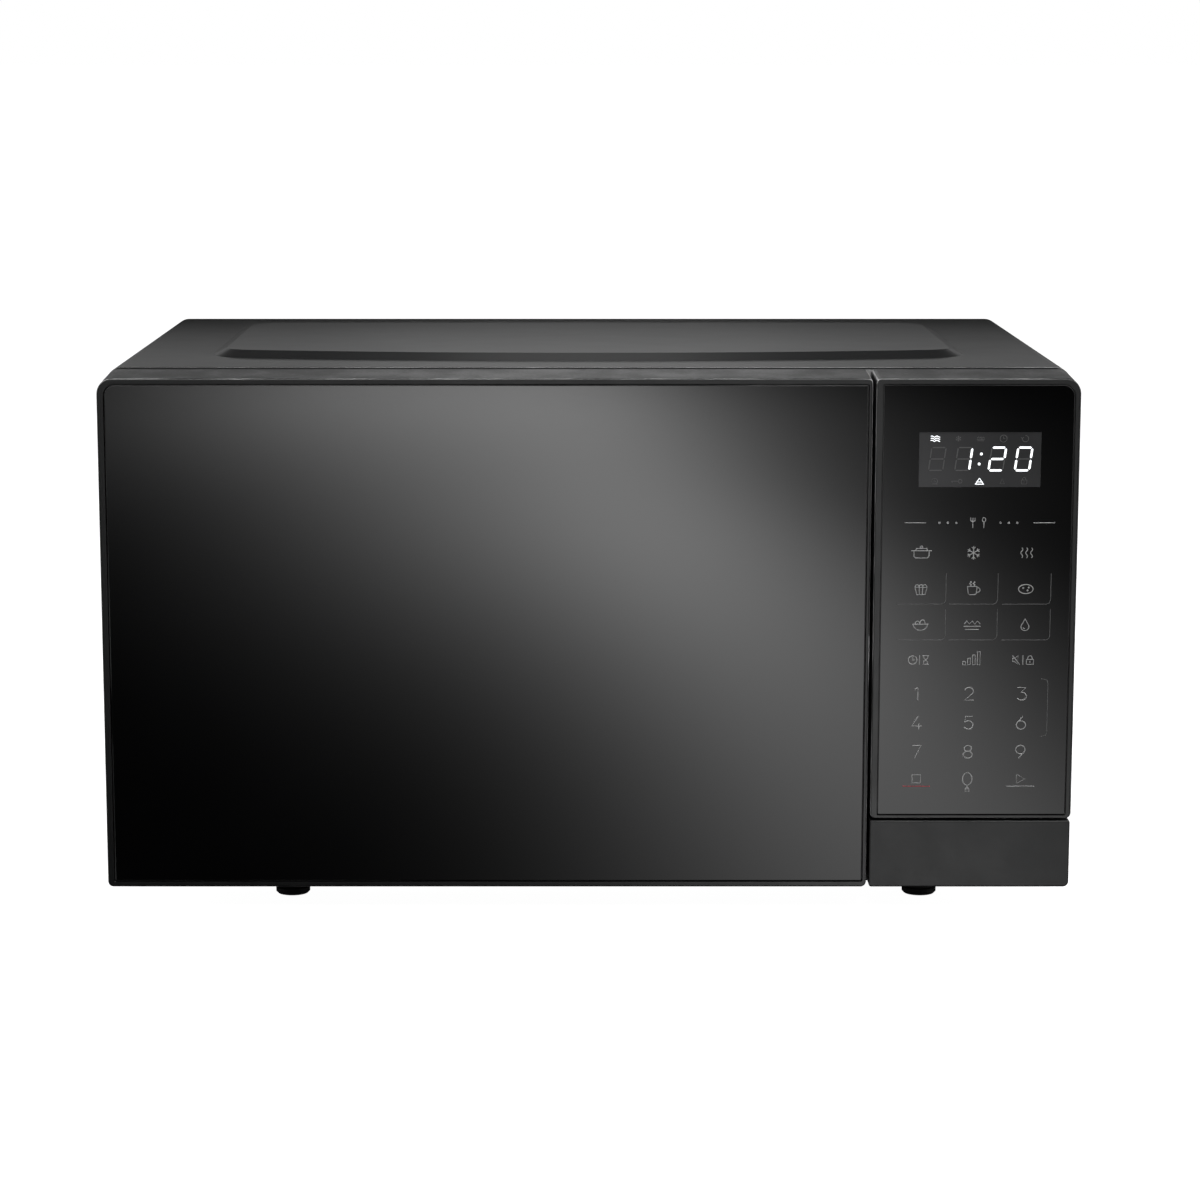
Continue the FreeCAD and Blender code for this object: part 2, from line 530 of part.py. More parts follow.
def make_panel():
    """Control panel housing, printed overlay, display and circuit board."""
    low = BUTTON_TOP + 1.0
    body = front_shape(PANEL_LEFT, PANEL_RIGHT, low, 2.5, CORNER)
    g = GROOVE
    plate_back = FRONT + 2.2
    recess_x, recess_z = (OVERLAY_LEFT - g, OVERLAY_RIGHT + g), (OVERLAY_LOW - g, GLASS_HIGH + g)
    recess = prism("y", recess_x, recess_z, (FRONT - 1, plate_back), (0.8, 0.8, 5.3 + g, 0.8))
    wall_back = plate_back + 2.2
    hollow = prism("y", (130.6, 217.7), (low + 2.2, 244.4), (wall_back, DOOR_REAR + 1), (1, 1, 9, 1))
    display_hole = prism("y", WINDOW[:2], WINDOW[2:], (plate_back - 1, wall_back + 1))
    flange_x, flange_y = (PANEL_LEFT, BUTTON_SIDE), (DOOR_REAR - 1.2, DOOR_REAR)
    flange = prism("y", flange_x, (DOOR_BOTTOM, low + 2.2), flange_y, (2, 2, 0, 0))
    neck_x, neck_z = (131.0, 217.0), (16.2, 41.9)
    neck = prism("y", neck_x, neck_z, (-153.5, DOOR_REAR), (2,) * 4)
    neck_room = prism("y", (132.8, 215.2), (18.0, 40.1), (-154.5, DOOR_REAR - 1.2), (1,) * 4)
    body = body.cut(recess).cut(hollow).cut(display_hole)
    body = body.fuse(flange).fuse(neck.cut(neck_room))
    stem_y = (DOOR_REAR - 3, DOOR_REAR + 1)
    body = body.cut(box((STEM_X - 4, STEM_X + 4), stem_y, (STEM_Z - 3, STEM_Z + 3)))
    write("control_panel_housing", body)

    plate_x, plate_z = (OVERLAY_LEFT, OVERLAY_RIGHT), (OVERLAY_LOW, GLASS_HIGH)
    plate = prism("y", plate_x, plate_z, (OVERLAY_FRONT, plate_back), (0.6, 0.6, 5.3, 0.6))
    plate = plate.makeChamfer(0.35, edges_in_plane(plate, OVERLAY_FRONT))
    window_hole = prism("y", WINDOW[:2], WINDOW[2:], (FRONT - 1, plate_back + 1))
    write("control_overlay", plate.cut(window_hole))
    write("display_window", prism("y", WINDOW[:2], WINDOW[2:], (OVERLAY_FRONT + 0.15, plate_back)))
    module_x, module_z = (WINDOW[0] - 3, WINDOW[1] + 3), (WINDOW[2] - 3, WINDOW[3] + 3)
    write("display_module", box(module_x, (wall_back + 0.2, BOARD_FRONT - 0.2), module_z))

    board = box(BOARD_X, (BOARD_FRONT, BOARD_BACK), BOARD_Z)
    inset = 3.5
    for x in (BOARD_X[0] + inset, BOARD_X[1] - inset):
        for z in (BOARD_Z[0] + inset, BOARD_Z[1] - inset):
            board = board.cut(rod(1.6, (x, BOARD_FRONT - 1, z), Y_AXIS, 4))
    parts = [box((152.0, 192.0), (BOARD_BACK, BOARD_BACK + 16), (142.0, 174.0))]
    for x in (150, 170):
        for z in (84, 110):
            parts.append(box((x, x + 15), (BOARD_BACK, BOARD_BACK + 15), (z, z + 19)))
    parts += [rod(5, (x, BOARD_BACK, 190.0), Y_AXIS, 12) for x in (156.0, 176.0)]
    for piece in parts:
        board = board.fuse(piece)
    write("control_board", board)


def make_button():
    """Push panel that opens the door, with its stem, and its return spring."""
    cap_x, cap_z = (PANEL_LEFT, BUTTON_SIDE), (DOOR_BOTTOM, BUTTON_TOP)
    skirt_end = DOOR_REAR - 1.2 - BUTTON_TRAVEL - 0.3
    cap = prism("y", cap_x, cap_z, (FRONT, skirt_end), (1.2, 2.5, 1.0, 1.0))
    cap = cap.makeFillet(0.8, edges_in_plane(cap, FRONT))
    room_x, room_z = (cap_x[0] + 2.1, cap_x[1] - 2.1), (cap_z[0] + 2.1, cap_z[1] - 2.1)
    cap = cap.cut(prism("y", room_x, room_z, (FRONT + 2, skirt_end + 1), (1, 1, 1, 1)))
    stem = box((STEM_X - 0.3, STEM_X + 3.2), (FRONT + 1, -129.0), (STEM_Z - 2, STEM_Z + 2))
    guides = [ring(7.4, 6.4, (x, FRONT + 1, STEM_Z - 1), Y_AXIS, 5) for x in SPRING_PLACES]
    for piece in [stem] + guides:
        cap = cap.fuse(piece)
    write("open_button", cap)
    start, end = FRONT + 2 + SPRING_WIRE + 0.2, DOOR_REAR - 1.2 - SPRING_WIRE - 0.2
    springs = []
    for x in SPRING_PLACES:
        place = (x, start, STEM_Z - 1)
        springs.append(coil(place, Y_AXIS, SPRING_R, SPRING_WIRE, end - start, SPRING_TURNS))
    write("button_springs", springs)


def make_turntable():
    """Motor, coupler, roller ring with wheels and the glass tray."""
    motor_low, motor_top = BASE + SHEET, 25.6
    motor = rod(25, (TURN_X, TURN_Y, motor_low), Z_AXIS, motor_top - motor_low)
    ears = box((TURN_X - 35, TURN_X + 35), (TURN_Y - 5, TURN_Y + 5), (motor_low, motor_low + 2))
    motor = motor.fuse(ears).cut(rod(3.0 + RUNNING, (TURN_X, TURN_Y, motor_low + 3), Z_AXIS, 30))
    terminals = box((TURN_X - 7, TURN_X + 7), (TURN_Y + 24, TURN_Y + 34), (12, 22))
    motor = motor.fuse(terminals)
    shanks = [rod(1.75, (x, y, 9), Z_AXIS, 4) for x, y in base_screw_places()[4:]]
    write("turntable_motor", motor.cut(Part.makeCompound(shanks)))
    shaft = rod(3.0, (TURN_X, TURN_Y, motor_low + 3.4), Z_AXIS, 36 - motor_low - 3.4)
    head_low, head_top = 36.5, TRAY_UNDER - 0.3
    coupler = rod(5.4, (TURN_X, TURN_Y, 27.0), Z_AXIS, head_top - 27.0)
    for turn in range(3):
        lobe = prism("z", (0, 16), (-4, 4), (head_low, head_top), (0, 3.9, 3.9, 0))
        lobe.rotate(V(0, 0, 0), Z_AXIS, 120 * turn)
        lobe.translate(V(TURN_X, TURN_Y, 0))
        coupler = coupler.fuse(lobe)
    write("turntable_coupler", coupler.fuse(shaft).removeSplitter())

    z = WHEEL_Z
    hub = ring(18.5, 14.5, (TURN_X, TURN_Y, CAVITY_FLOOR + 0.6), Z_AXIS, 4)
    hoop = ring(71, 66, (TURN_X, TURN_Y, CAVITY_FLOOR + 2.5), Z_AXIS, 10)
    support = hub.fuse(hoop)
    for turn in range(3):
        arm = prism("z", (16, 68), (-4, 4), (CAVITY_FLOOR + 1.0, CAVITY_FLOOR + 4.4))
        post = box((68, 76), (-4, 4), (z - 4, z + 4))
        axle = rod(1.8, (74, 0, z), X_AXIS, 17)
        cap = rod(2.8, (TRACK_R + 3.9, 0, z), X_AXIS, 2.2)
        spoke = arm.fuse(post).fuse(axle).fuse(cap)
        spoke.rotate(V(0, 0, 0), Z_AXIS, 90 + 120 * turn)
        spoke.translate(V(TURN_X, TURN_Y, 0))
        support = support.fuse(spoke)
        bore, side, edge = 1.86, 3.5, 1.2
        lower = [(bore, -side), (WHEEL_R - edge, -side), (WHEEL_R, edge - side)]
        upper = [(WHEEL_R, side - edge), (WHEEL_R - edge, side), (bore, side)]
        wheel = spin(lower + upper, (0, 0, 0))
        wheel.rotate(V(0, 0, 0), Y_AXIS, 90)
        wheel.translate(V(TRACK_R, 0, z))
        wheel.rotate(V(0, 0, 0), Z_AXIS, 90 + 120 * turn)
        wheel.translate(V(TURN_X, TURN_Y, 0))
        write("roller_wheel_%d" % (turn + 1), wheel)
    write("roller_ring", support)

    u, thick = TRAY_UNDER, 4.6
    under = [(0, u), (98, u), (114, u + 8), (TRAY_R, u + 10)]
    over = [(TRAY_R, u + 13), (112, u + 12), (96, u + thick), (0, u + thick)]
    tray = spin(under + over, (TURN_X, TURN_Y, 0))
    soften = [e for e in tray.Edges if len(e.Vertexes) == 1 and e.BoundBox.XLength > 180]
    tray = tray.makeFillet(1.4, soften)
    for turn in range(3):
        key = prism("z", (7.5, 14), (-3, 3), (u - 3.2, u + 0.5))
        key.rotate(V(0, 0, 0), Z_AXIS, 60 + 120 * turn)
        key.translate(V(TURN_X, TURN_Y, 0))
        tray = tray.fuse(key)
    write("glass_tray", tray)


def make_grill():
    """Sheathed heating element in four runs, and the two rails that carry it."""
    first, second, third, last = ELEMENT_ROWS
    far, near, ends = -150.0, 44.0, CAVITY_RIGHT + 8
    there = [(ends, first), (far, first), (far, second), (near, second)]
    back = [(near, third), (far, third), (far, last), (ends, last)]
    bar = round_path([(x, y, ELEMENT_Z) for x, y in there + back], ELEMENT_R, 17.0)
    write("grill_element", bar)
    rails = []
    for x in (-104.0, 6.0):
        rail = box((x, x + 1.4), (first - 8, last + 8), (ELEMENT_Z - 5, CAVITY_ROOF))
        rail = rail.fuse(box((x, x + 9), (first - 8, last + 8), (CAVITY_ROOF - 1.2, CAVITY_ROOF)))
        holes = [rod(ELEMENT_R + 0.15, (x - 1, y, ELEMENT_Z), X_AXIS, 4) for y in ELEMENT_ROWS]
        rails.append(rail.cut(Part.makeCompound(holes)))
    bush_r = ELEMENT_R + 1.4
    for y in (first, last):
        rails.append(ring(bush_r, ELEMENT_R + 0.1, (CAVITY_RIGHT - 2, y, ELEMENT_Z), X_AXIS, 7))
    write("element_rails", rails)


def make_magnetron():
    """Magnetron with yoke, fins and antenna, the waveguide and its cover."""
    guide_end = 133.0
    wall = CAVITY_RIGHT + SHEET
    span_y, span_z = (MAG_Y - 36, MAG_Y + 36), (MAG_Z - 38, MAG_Z + 38)
    duct = box((wall, guide_end), span_y, span_z)
    duct = duct.fuse(box((wall, wall + SHEET), (MAG_Y - 44, MAG_Y + 44), (MAG_Z - 46, MAG_Z + 46)))
    inner_y = (span_y[0] + SHEET, span_y[1] - SHEET)
    inner_z = (span_z[0] + SHEET, span_z[1] - SHEET)
    duct = duct.cut(box((wall - 1, guide_end - SHEET), inner_y, inner_z))
    write("waveguide", duct.cut(rod(10, (guide_end - 2, MAG_Y, MAG_Z), X_AXIS, 4)))
    cover_y, cover_z = (MAG_Y - 38, MAG_Y + 38), (MAG_Z - 38, MAG_Z + 38)
    write("waveguide_cover", prism("x", cover_y, cover_z, (CAVITY_RIGHT - 0.6, CAVITY_RIGHT), (5,) * 4))

    low_x, high_x = 138.0, 194.0
    yoke_y, yoke_z = (MAG_Y - 38, MAG_Y + 38), (MAG_Z - 43, MAG_Z + 43)
    yoke = box((low_x, high_x), yoke_y, yoke_z)
    room_x, room_z = (low_x + 1.6, high_x - 1.6), (yoke_z[0] + 1.6, yoke_z[1] - 1.6)
    yoke = yoke.cut(box(room_x, (yoke_y[0] - 1, yoke_y[1] + 1), room_z))
    yoke = yoke.cut(rod(12.2, (low_x - 1, MAG_Y, MAG_Z), X_AXIS, 70))
    filter_box = box((high_x, high_x + 21), (MAG_Y - 24, MAG_Y + 24), (MAG_Z - 33, MAG_Z + 33))
    write("magnetron_yoke", yoke.fuse(filter_box))
    tube = rod(19, (low_x + 10, MAG_Y, MAG_Z), X_AXIS, high_x - low_x - 20)
    tube = tube.fuse(rod(12, (low_x - 5, MAG_Y, MAG_Z), X_AXIS, high_x - low_x + 5))
    tube = tube.fuse(rod(7.5, (112, MAG_Y, MAG_Z), X_AXIS, 25))
    for x in (low_x + 1.6, high_x - 9.6):
        tube = tube.fuse(rod(27, (x, MAG_Y, MAG_Z), X_AXIS, 8))
    write("magnetron_tube", tube)
    fins = []
    for index in range(5):
        x = low_x + 12.5 + 7.2 * index
        fin = box((x, x + 0.9), (MAG_Y - 36, MAG_Y + 36), (MAG_Z - 40, MAG_Z + 40))
        fins.append(fin.cut(rod(19, (x - 1, MAG_Y, MAG_Z), X_AXIS, 3)))
    write("magnetron_fins", fins)


def make_supply():
    """High-voltage supply, mains filter and thermal cut-outs."""
    floor = BASE + SHEET
    core = box(CORE_X, CORE_Y, (floor + 2, CORE_TOP))
    core = core.fuse(box((CORE_X[0] - 10, CORE_X[1] + 10), CORE_Y, (floor, floor + 2)))
    window_y, window_z = (CORE_Y[0] - 1, CORE_Y[1] + 1), (24, 70)
    for low_x in (141.0, 177.0):
        core = core.cut(box((low_x, low_x + 12), window_y, window_z))
    shanks = [rod(1.75, (x, y, 9), Z_AXIS, 4) for x, y in base_screw_places()[:4]]
    write("transformer_core", core.cut(Part.makeCompound(shanks)))
    windings = []
    for low, high in COIL_SPANS:
        turn = prism("z", (141.4, 188.6), (-16.6, 46.6), (low, high), (10,) * 4)
        windings.append(turn.cut(box((152.8, 177.2), (-5.2, 35.2), (low - 1, high + 1))))
    write("transformer_windings", windings)

    y, z, r = CAPACITOR_Y, CAPACITOR_Z, CAPACITOR_CORNER
    can = prism("x", y, z, (126, 196), (r,) * 4)
    for tab_y in (94, 112):
        can = can.fuse(box((196, 204), (tab_y, tab_y + 6), (27.6, 28.4)))
    write("hv_capacitor", can)
    band = 1.2
    strap_x, cut_x = (154, 166), (153, 167)
    strap_y, strap_z = (y[0] - band, y[1] + band), (floor, z[1] + band)
    strap = prism("x", strap_y, strap_z, strap_x, (0, 0, r + 1, r + 1))
    strap = strap.cut(prism("x", y, (0, z[1]), cut_x, (0, 0, r, r)))
    feet = box(strap_x, (y[0] - 14, y[1] + 12), (floor, floor + band)).cut(box(cut_x, y, (0, 20)))
    write("capacitor_bracket", strap.fuse(feet))
    diode = rod(3.5, (112, 60, 14), Y_AXIS, 22)
    diode = diode.fuse(rod(0.8, (112, 54, 14), Y_AXIS, 34))
    write("hv_diode", diode)

    board = box(FILTER_X, FILTER_Y, (FILTER_LOW, FILTER_TOP))
    inset = 6
    for x in (FILTER_X[0] + inset, FILTER_X[1] - inset):
        for y in (FILTER_Y[0] + inset, FILTER_Y[1] - inset):
            board = board.fuse(rod(3, (x, y, floor), Z_AXIS, FILTER_LOW - floor))
    write("filter_board", board)
    choke = ring(13, 7, (154, -90, FILTER_TOP), Z_AXIS, 12)
    film = box((176, 194), (-104, -92), (FILTER_TOP, 36))
    disc = rod(6, (186, -80, FILTER_TOP + 6), X_AXIS, 4)
    write("filter_parts", [choke, film, disc])
    fuse_y, fuse_z, fuse_r = -64, 27.0, 3.2
    pieces = [rod(fuse_r, (140, fuse_y, fuse_z), X_AXIS, 20)]
    for x in (141, 154):
        clip = box((x, x + 5), (fuse_y - 4, fuse_y + 4), (FILTER_TOP, fuse_z + 1))
        pieces.append(clip.cut(rod(fuse_r + 0.1, (139, fuse_y, fuse_z), X_AXIS, 30)))
    write("main_fuse", pieces)
    cutouts = []
    for x, y, z in ((166.0, 45.0, MAG_Z + 43), (wall_side(), -80.0, 120.0)):
        direction = Z_AXIS if z > MAG_Z else X_AXIS
        disc = rod(8, (x, y, z), direction, 6)
        cutouts.append(disc.fuse(rod(6, (x, y, z), direction, 11)))
    write("thermal_cutouts", cutouts)


def wall_side():
    """Outer face of the cavity's right wall."""
    return CAVITY_RIGHT + SHEET


def make_cooling():
    """Fan with its shroud and motor, the air duct and the cavity lamp."""
    plate = prism("y", (FAN_X - 50, FAN_X + 50), (FAN_Z - 50, FAN_Z + 50), (120, 122), (4,) * 4)
    plate = plate.fuse(rod(FAN_R + 4.5, (FAN_X, 110, FAN_Z), Y_AXIS, 20))
    plate = plate.cut(rod(FAN_R + 2.5, (FAN_X, 105, FAN_Z), Y_AXIS, 30))
    for x in (FAN_X - 49, FAN_X + 49):
        plate = plate.fuse(box((x - 1, x + 1), (122, BACK_PLATE), (FAN_Z - 40, FAN_Z + 40)))
    write("fan_shroud", plate)
    stack = box((FAN_X - 26, FAN_X + 26), (132, 142), (FAN_Z - 40, FAN_Z + 16))
    arms = box((FAN_X - 48, FAN_X + 48), (142, 144), (FAN_Z - 8, FAN_Z + 8))
    bearing = rod(9, (FAN_X, 130, FAN_Z), Y_AXIS, 15)
    motor = stack.cut(rod(12, (FAN_X, 131, FAN_Z), Y_AXIS, 12)).fuse(bearing).fuse(arms)
    motor = motor.cut(rod(2.0 + RUNNING, (FAN_X, 129, FAN_Z), Y_AXIS, 13))
    winding = prism("y", (FAN_X - 18, FAN_X + 18), (FAN_Z - 38, FAN_Z - 22), (128.5, 145.5), (3,) * 4)
    write("fan_motor", motor.fuse(winding))

    hub = rod(12, (FAN_X, 114, FAN_Z), Y_AXIS, 12).fuse(rod(2.0, (FAN_X, 112, FAN_Z), Y_AXIS, 28))
    blades = 5
    for index in range(blades):
        blade = Part.makeBox(FAN_R - 10.5, 1.6, 20, V(10, -0.8, -10))
        blade.rotate(V(0, 0, 0), X_AXIS, 38)
        blade = blade.common(rod(FAN_R, (0, -6, 0), Y_AXIS, 12))
        blade.rotate(V(0, 0, 0), Y_AXIS, 360 / blades * index)
        blade.translate(V(FAN_X, 120, FAN_Z))
        hub = hub.fuse(blade)
    write("fan_blade", hub)

    wall = wall_side()
    duct = box((wall, 128), (-28, 20), (114, 162))
    write("air_duct", duct.cut(box((wall - 1, 126.4), (-26.4, 21), (115.6, 160.4))))
    holder = box((wall, wall + 22), (-72, -30), (178, 214))
    holder = holder.cut(box((wall - 1, wall + 20.6), (-70.6, -31.4), (179.4, 212.6)))
    holder = holder.cut(rod(8.2, (wall + 11, -32, 196), Y_AXIS, 4))
    write("lamp_holder", holder)
    lamp = rod(8, (wall + 11, -34, 196), Y_AXIS, 16).fuse(rod(6, (wall + 11, -44, 196), Y_AXIS, 11))
    bulb = Part.makeSphere(9, V(wall + 11, -50, 196)).fuse(lamp)
    write("cavity_lamp", bulb)


def screw(start, axis, shank):
    """Pan-head screw: the head stands from start along axis, the shank goes the other way."""
    head_r, head_high, shank_r = 3.6, 2.0, 1.7
    recess = 0.5
    head = rod(head_r, start, axis, head_high)
    top = V(*start) + axis * head_high
    for angle in (45, 135):
        bar = Part.makeBox(4.4, 0.9, 2 * recess, V(-2.2, -0.45, -recess))
        bar.rotate(V(0, 0, 0), Z_AXIS, angle)
        bar.Placement = FreeCAD.Placement(top, FreeCAD.Rotation(Z_AXIS, axis)).multiply(bar.Placement)
        head = head.cut(bar)
    return head.fuse(Part.makeCylinder(shank_r, shank, V(*start) - axis * shank, axis))


def make_outside():
    """Feet, rear spacers, cord gland and screws."""
    tread = [(0, 0), (7.0, 0), (8.0, 1.0), (8.0, 3.0), (7.0, 3.4), (7.0, 4.2)]
    steps = [(8.4, 4.8), (8.4, 6.4), (9.4, 7.0), (9.4, BASE)]
    stud = [(3.0, BASE), (3.0, BASE + SHEET), (4.4, BASE + SHEET + 0.2), (2.4, BASE + 3.4), (0, BASE + 3.4)]
    write("feet", [spin(tread + steps + stud, (x, y, 0)) for x, y in foot_places()])
    outer = CASE_REAR - SHEET
    spacers = []
    for x in (-150.0, 150.0):
        cone = Part.makeCone(9, 6.5, REAR - outer, V(x, outer, 218), Y_AXIS)
        tip = [e for e in cone.Edges if abs(e.BoundBox.YMin - REAR) < 0.01 and e.BoundBox.YLength < 0.01]
        spacers.append(cone.makeFillet(1.5, tip))
    write("rear_spacers", spacers)
    inner = 141.0
    bush = rod(5.55, (GLAND_X, inner, GLAND_Z), Y_AXIS, 10)
    bush = bush.fuse(rod(8.5, (GLAND_X, outer, GLAND_Z), Y_AXIS, 4))
    bush = bush.fuse(rod(7.0, (GLAND_X, inner, GLAND_Z), Y_AXIS, BACK_PLATE - inner))
    write("cord_gland", bush.cut(rod(GLAND_BORE, (GLAND_X, inner - 11, GLAND_Z), Y_AXIS, 30)))

    screws = [screw((x, CASE_REAR, z), Y_AXIS, 6) for x, z in cabinet_screw_places()]
    screws += [screw((x, y, BASE), V(0, 0, -1), 4.5) for x, y in base_screw_places()]
    write("case_screws", screws)


def make_wiring():
    """Insulated leads that stay inside the case."""
    side = 211
    mains = [(GLAND_X, 139, GLAND_Z), (GLAND_X, 118, GLAND_Z), (side, 96, GLAND_Z)]
    mains += [(side, -66, GLAND_Z), (199, -84, 40)]
    high = [(165, 47.5, 58), (165, 60, 58), (122, 72, 58), (114, 90, 58), (114, 90, 30)]
    lamp_x = wall_side() + 11
    lamp = [(lamp_x, -17, 196), (lamp_x, -4, 196), (130, 4, 184), (130, 4, 100)]
    leads = [round_path(mains, 3.0, 14), round_path(high, 1.6, 6), round_path(lamp, 1.6, 6)]
    write("wiring_leads", leads)


make_cabinet()
make_chassis()
make_door()
make_hinge()
make_latch()
make_panel()
make_button()
make_turntable()
make_grill()
make_magnetron()
make_supply()
make_cooling()
make_outside()
make_wiring()
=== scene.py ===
"""Looks, light and camera of a countertop microwave oven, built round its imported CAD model.

Metres, in the CAD frame: +Z up, the front faces -Y. Sizes that end in _MM are millimetres.
"""

import json
import math

import bpy
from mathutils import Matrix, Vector


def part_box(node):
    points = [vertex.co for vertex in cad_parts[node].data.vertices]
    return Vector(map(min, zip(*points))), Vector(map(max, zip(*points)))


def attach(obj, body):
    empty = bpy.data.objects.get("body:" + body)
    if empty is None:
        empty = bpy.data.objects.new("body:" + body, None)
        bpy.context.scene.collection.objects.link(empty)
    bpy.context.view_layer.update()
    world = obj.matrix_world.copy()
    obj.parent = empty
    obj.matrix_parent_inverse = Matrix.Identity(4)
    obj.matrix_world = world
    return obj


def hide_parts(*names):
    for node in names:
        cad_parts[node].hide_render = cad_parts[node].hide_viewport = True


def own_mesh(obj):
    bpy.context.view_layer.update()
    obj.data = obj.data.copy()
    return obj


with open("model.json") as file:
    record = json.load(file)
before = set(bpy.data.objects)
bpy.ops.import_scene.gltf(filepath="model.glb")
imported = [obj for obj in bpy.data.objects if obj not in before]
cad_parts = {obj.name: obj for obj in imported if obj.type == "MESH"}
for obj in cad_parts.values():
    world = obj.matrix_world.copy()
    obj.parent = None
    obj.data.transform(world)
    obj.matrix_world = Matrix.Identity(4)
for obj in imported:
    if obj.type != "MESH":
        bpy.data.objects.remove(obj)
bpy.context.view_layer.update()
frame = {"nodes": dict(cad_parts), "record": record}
nodes = frame["nodes"]
slot_of = {part["node"]: part["material_slot"] for part in frame["record"]["subparts"]}
scene = bpy.context.scene
scene.view_settings.view_transform = "Standard"
MM = 0.001
SCREEN_HOLE_PITCH_MM = 2.2


# ---------------------------------------------------------------- materials

class Look:
    """One procedural material round a Principled shader. Pattern sizes are in millimetres."""

    def __init__(self, name, **fixed):
        self.material = bpy.data.materials.new(name)
        self.material.use_nodes = True
        self.tree = self.material.node_tree
        self.shader = self.tree.nodes["Principled BSDF"]
        for socket, value in fixed.items():
            self.shader.inputs[socket.replace("_", " ")].default_value = value
        self.place = self.add("ShaderNodeTexCoord").outputs["Object"]
        self.normal = None

    def add(self, kind, **settings):
        node = self.tree.nodes.new(kind)
        for key, value in settings.items():
            setattr(node, key, value)
        return node

    def join(self, source, target):
        self.tree.links.new(source, target)

    def moved(self, centre=(0, 0, 0), scale=(1, 1, 1)):
        """Object coordinates measured from centre and stretched by scale."""
        shift = self.add("ShaderNodeMapping", vector_type="TEXTURE")
        shift.inputs["Location"].default_value = centre
        shift.inputs["Scale"].default_value = scale
        self.join(self.place, shift.inputs["Vector"])
        return shift.outputs["Vector"]

    def noise(self, size, detail=3.0, rough=0.55, stretch=None, warp=0.0):
        node = self.add("ShaderNodeTexNoise")
        node.inputs["Scale"].default_value = 1 / (size * MM)
        node.inputs["Detail"].default_value = detail
        node.inputs["Roughness"].default_value = rough
        node.inputs["Distortion"].default_value = warp
        self.join(self.moved(scale=stretch) if stretch else self.place, node.inputs["Vector"])
        return node.outputs["Fac"]

    def cells(self, size, output="Distance", feature="F1", stretch=None):
        node = self.add("ShaderNodeTexVoronoi", feature=feature)
        node.inputs["Scale"].default_value = 1 / (size * MM)
        self.join(self.moved(scale=stretch) if stretch else self.place, node.inputs["Vector"])
        return node.outputs[output]

    def bands(self, size, axis="Z", warp=0.0, rings=False, centre=(0, 0, 0)):
        node = self.add("ShaderNodeTexWave", wave_type="RINGS" if rings else "BANDS")
        if rings:
            node.rings_direction = axis
        else:
            node.bands_direction = axis
        node.inputs["Scale"].default_value = math.pi / 10 / (size * MM)
        node.inputs["Distortion"].default_value = warp
        self.join(self.moved(centre), node.inputs["Vector"])
        return node.outputs["Fac"]

    def maths(self, kind, *values):
        node = self.add("ShaderNodeMath", operation=kind)
        for socket, value in zip(node.inputs, values):
            if isinstance(value, (int, float)):
                socket.default_value = value
            else:
                self.join(value, socket)
        return node.outputs[0]

    def span(self, value, low, high, start=0.35, stop=0.65):
        """Value's stretch from start to stop, spread over low to high."""
        node = self.add("ShaderNodeMapRange")
        for socket, number in zip(("From Min", "From Max", "To Min", "To Max"), (start, stop, low, high)):
            node.inputs[socket].default_value = number
        self.join(value, node.inputs["Value"])
        return node.outputs["Result"]

    def edges(self, amount):
        """Rises from 0 to amount where the surface faces between two axes: chamfers and rounds. It masks a
        painted highlight along them.
        """
        normal = self.add("ShaderNodeTexCoord").outputs["Normal"]
        size = self.add("ShaderNodeVectorMath", operation="ABSOLUTE")
        self.join(normal, size.inputs[0])
        parts = self.add("ShaderNodeSeparateXYZ")
        self.join(size.outputs["Vector"], parts.inputs["Vector"])
        x, y, z = parts.outputs
        facing = self.maths("MAXIMUM", self.maths("MAXIMUM", x, y), z)
        return self.span(facing, amount, 0, 0.75, 0.88)

    def colour(self, value, *stops, target="Base Color"):
        """Stops are (position, (r, g, b)), in rising order."""
        node = self.add("ShaderNodeValToRGB")
        ramp = node.color_ramp
        while len(ramp.elements) < len(stops):
            ramp.elements.new(0.5)
        for element, (position, rgb) in zip(ramp.elements, stops):
            element.position = position
            element.color = (*rgb, 1)
        self.join(value, node.inputs["Fac"])
        self.join(node.outputs["Color"], self.shader.inputs[target])
        return self

    def tone_and_edge_highlight(self, cover, rgb, edge_highlight, spread=0.1):
        """A colour that wanders with cover, with a painted highlight in another colour along the edges."""
        value = self.maths("ADD", self.span(cover, 0, 0.5, 0.3, 0.7), self.edges(0.5))
        low, high = scaled(rgb, 1 - spread), scaled(rgb, 1 + spread)
        return self.colour(value, (0, low), (0.5, high), (0.75, edge_highlight))

    def rough(self, value, low, high, start=0.35, stop=0.65):
        self.join(self.span(value, low, high, start, stop), self.shader.inputs["Roughness"])
        return self

    def relief(self, value, height, strength=1.0):
        """Adds bumps; height in millimetres."""
        node = self.add("ShaderNodeBump")
        node.inputs["Strength"].default_value = strength
        node.inputs["Distance"].default_value = height * MM
        self.join(value, node.inputs["Height"])
        if self.normal:
            self.join(self.normal, node.inputs["Normal"])
        self.normal = node.outputs["Normal"]
        self.join(self.normal, self.shader.inputs["Normal"])
        return self


def grey(level, tint=0.0):
    """A neutral colour, a little bluer as tint rises."""
    return (level * (1 - tint), level, level * (1 + tint))


def scaled(rgb, factor):
    return tuple(channel * factor for channel in rgb)


def powder_coat(name, rgb, rough, grain=0.7, edge_highlight=None):
    """Baked powder paint, with an optional painted highlight along its edges."""
    look = Look(name, Specular_IOR_Level=0.5)
    speckle = look.maths("ADD", look.noise(60, 2), look.span(look.noise(grain / 2, 2), -0.12, 0.12))
    look.tone_and_edge_highlight(speckle, rgb, edge_highlight or rgb)
    look.rough(look.noise(70, 3, 0.6), rough - 0.015, rough + 0.02)
    look.relief(look.noise(grain, 2), 0.012, 0.6)
    return look


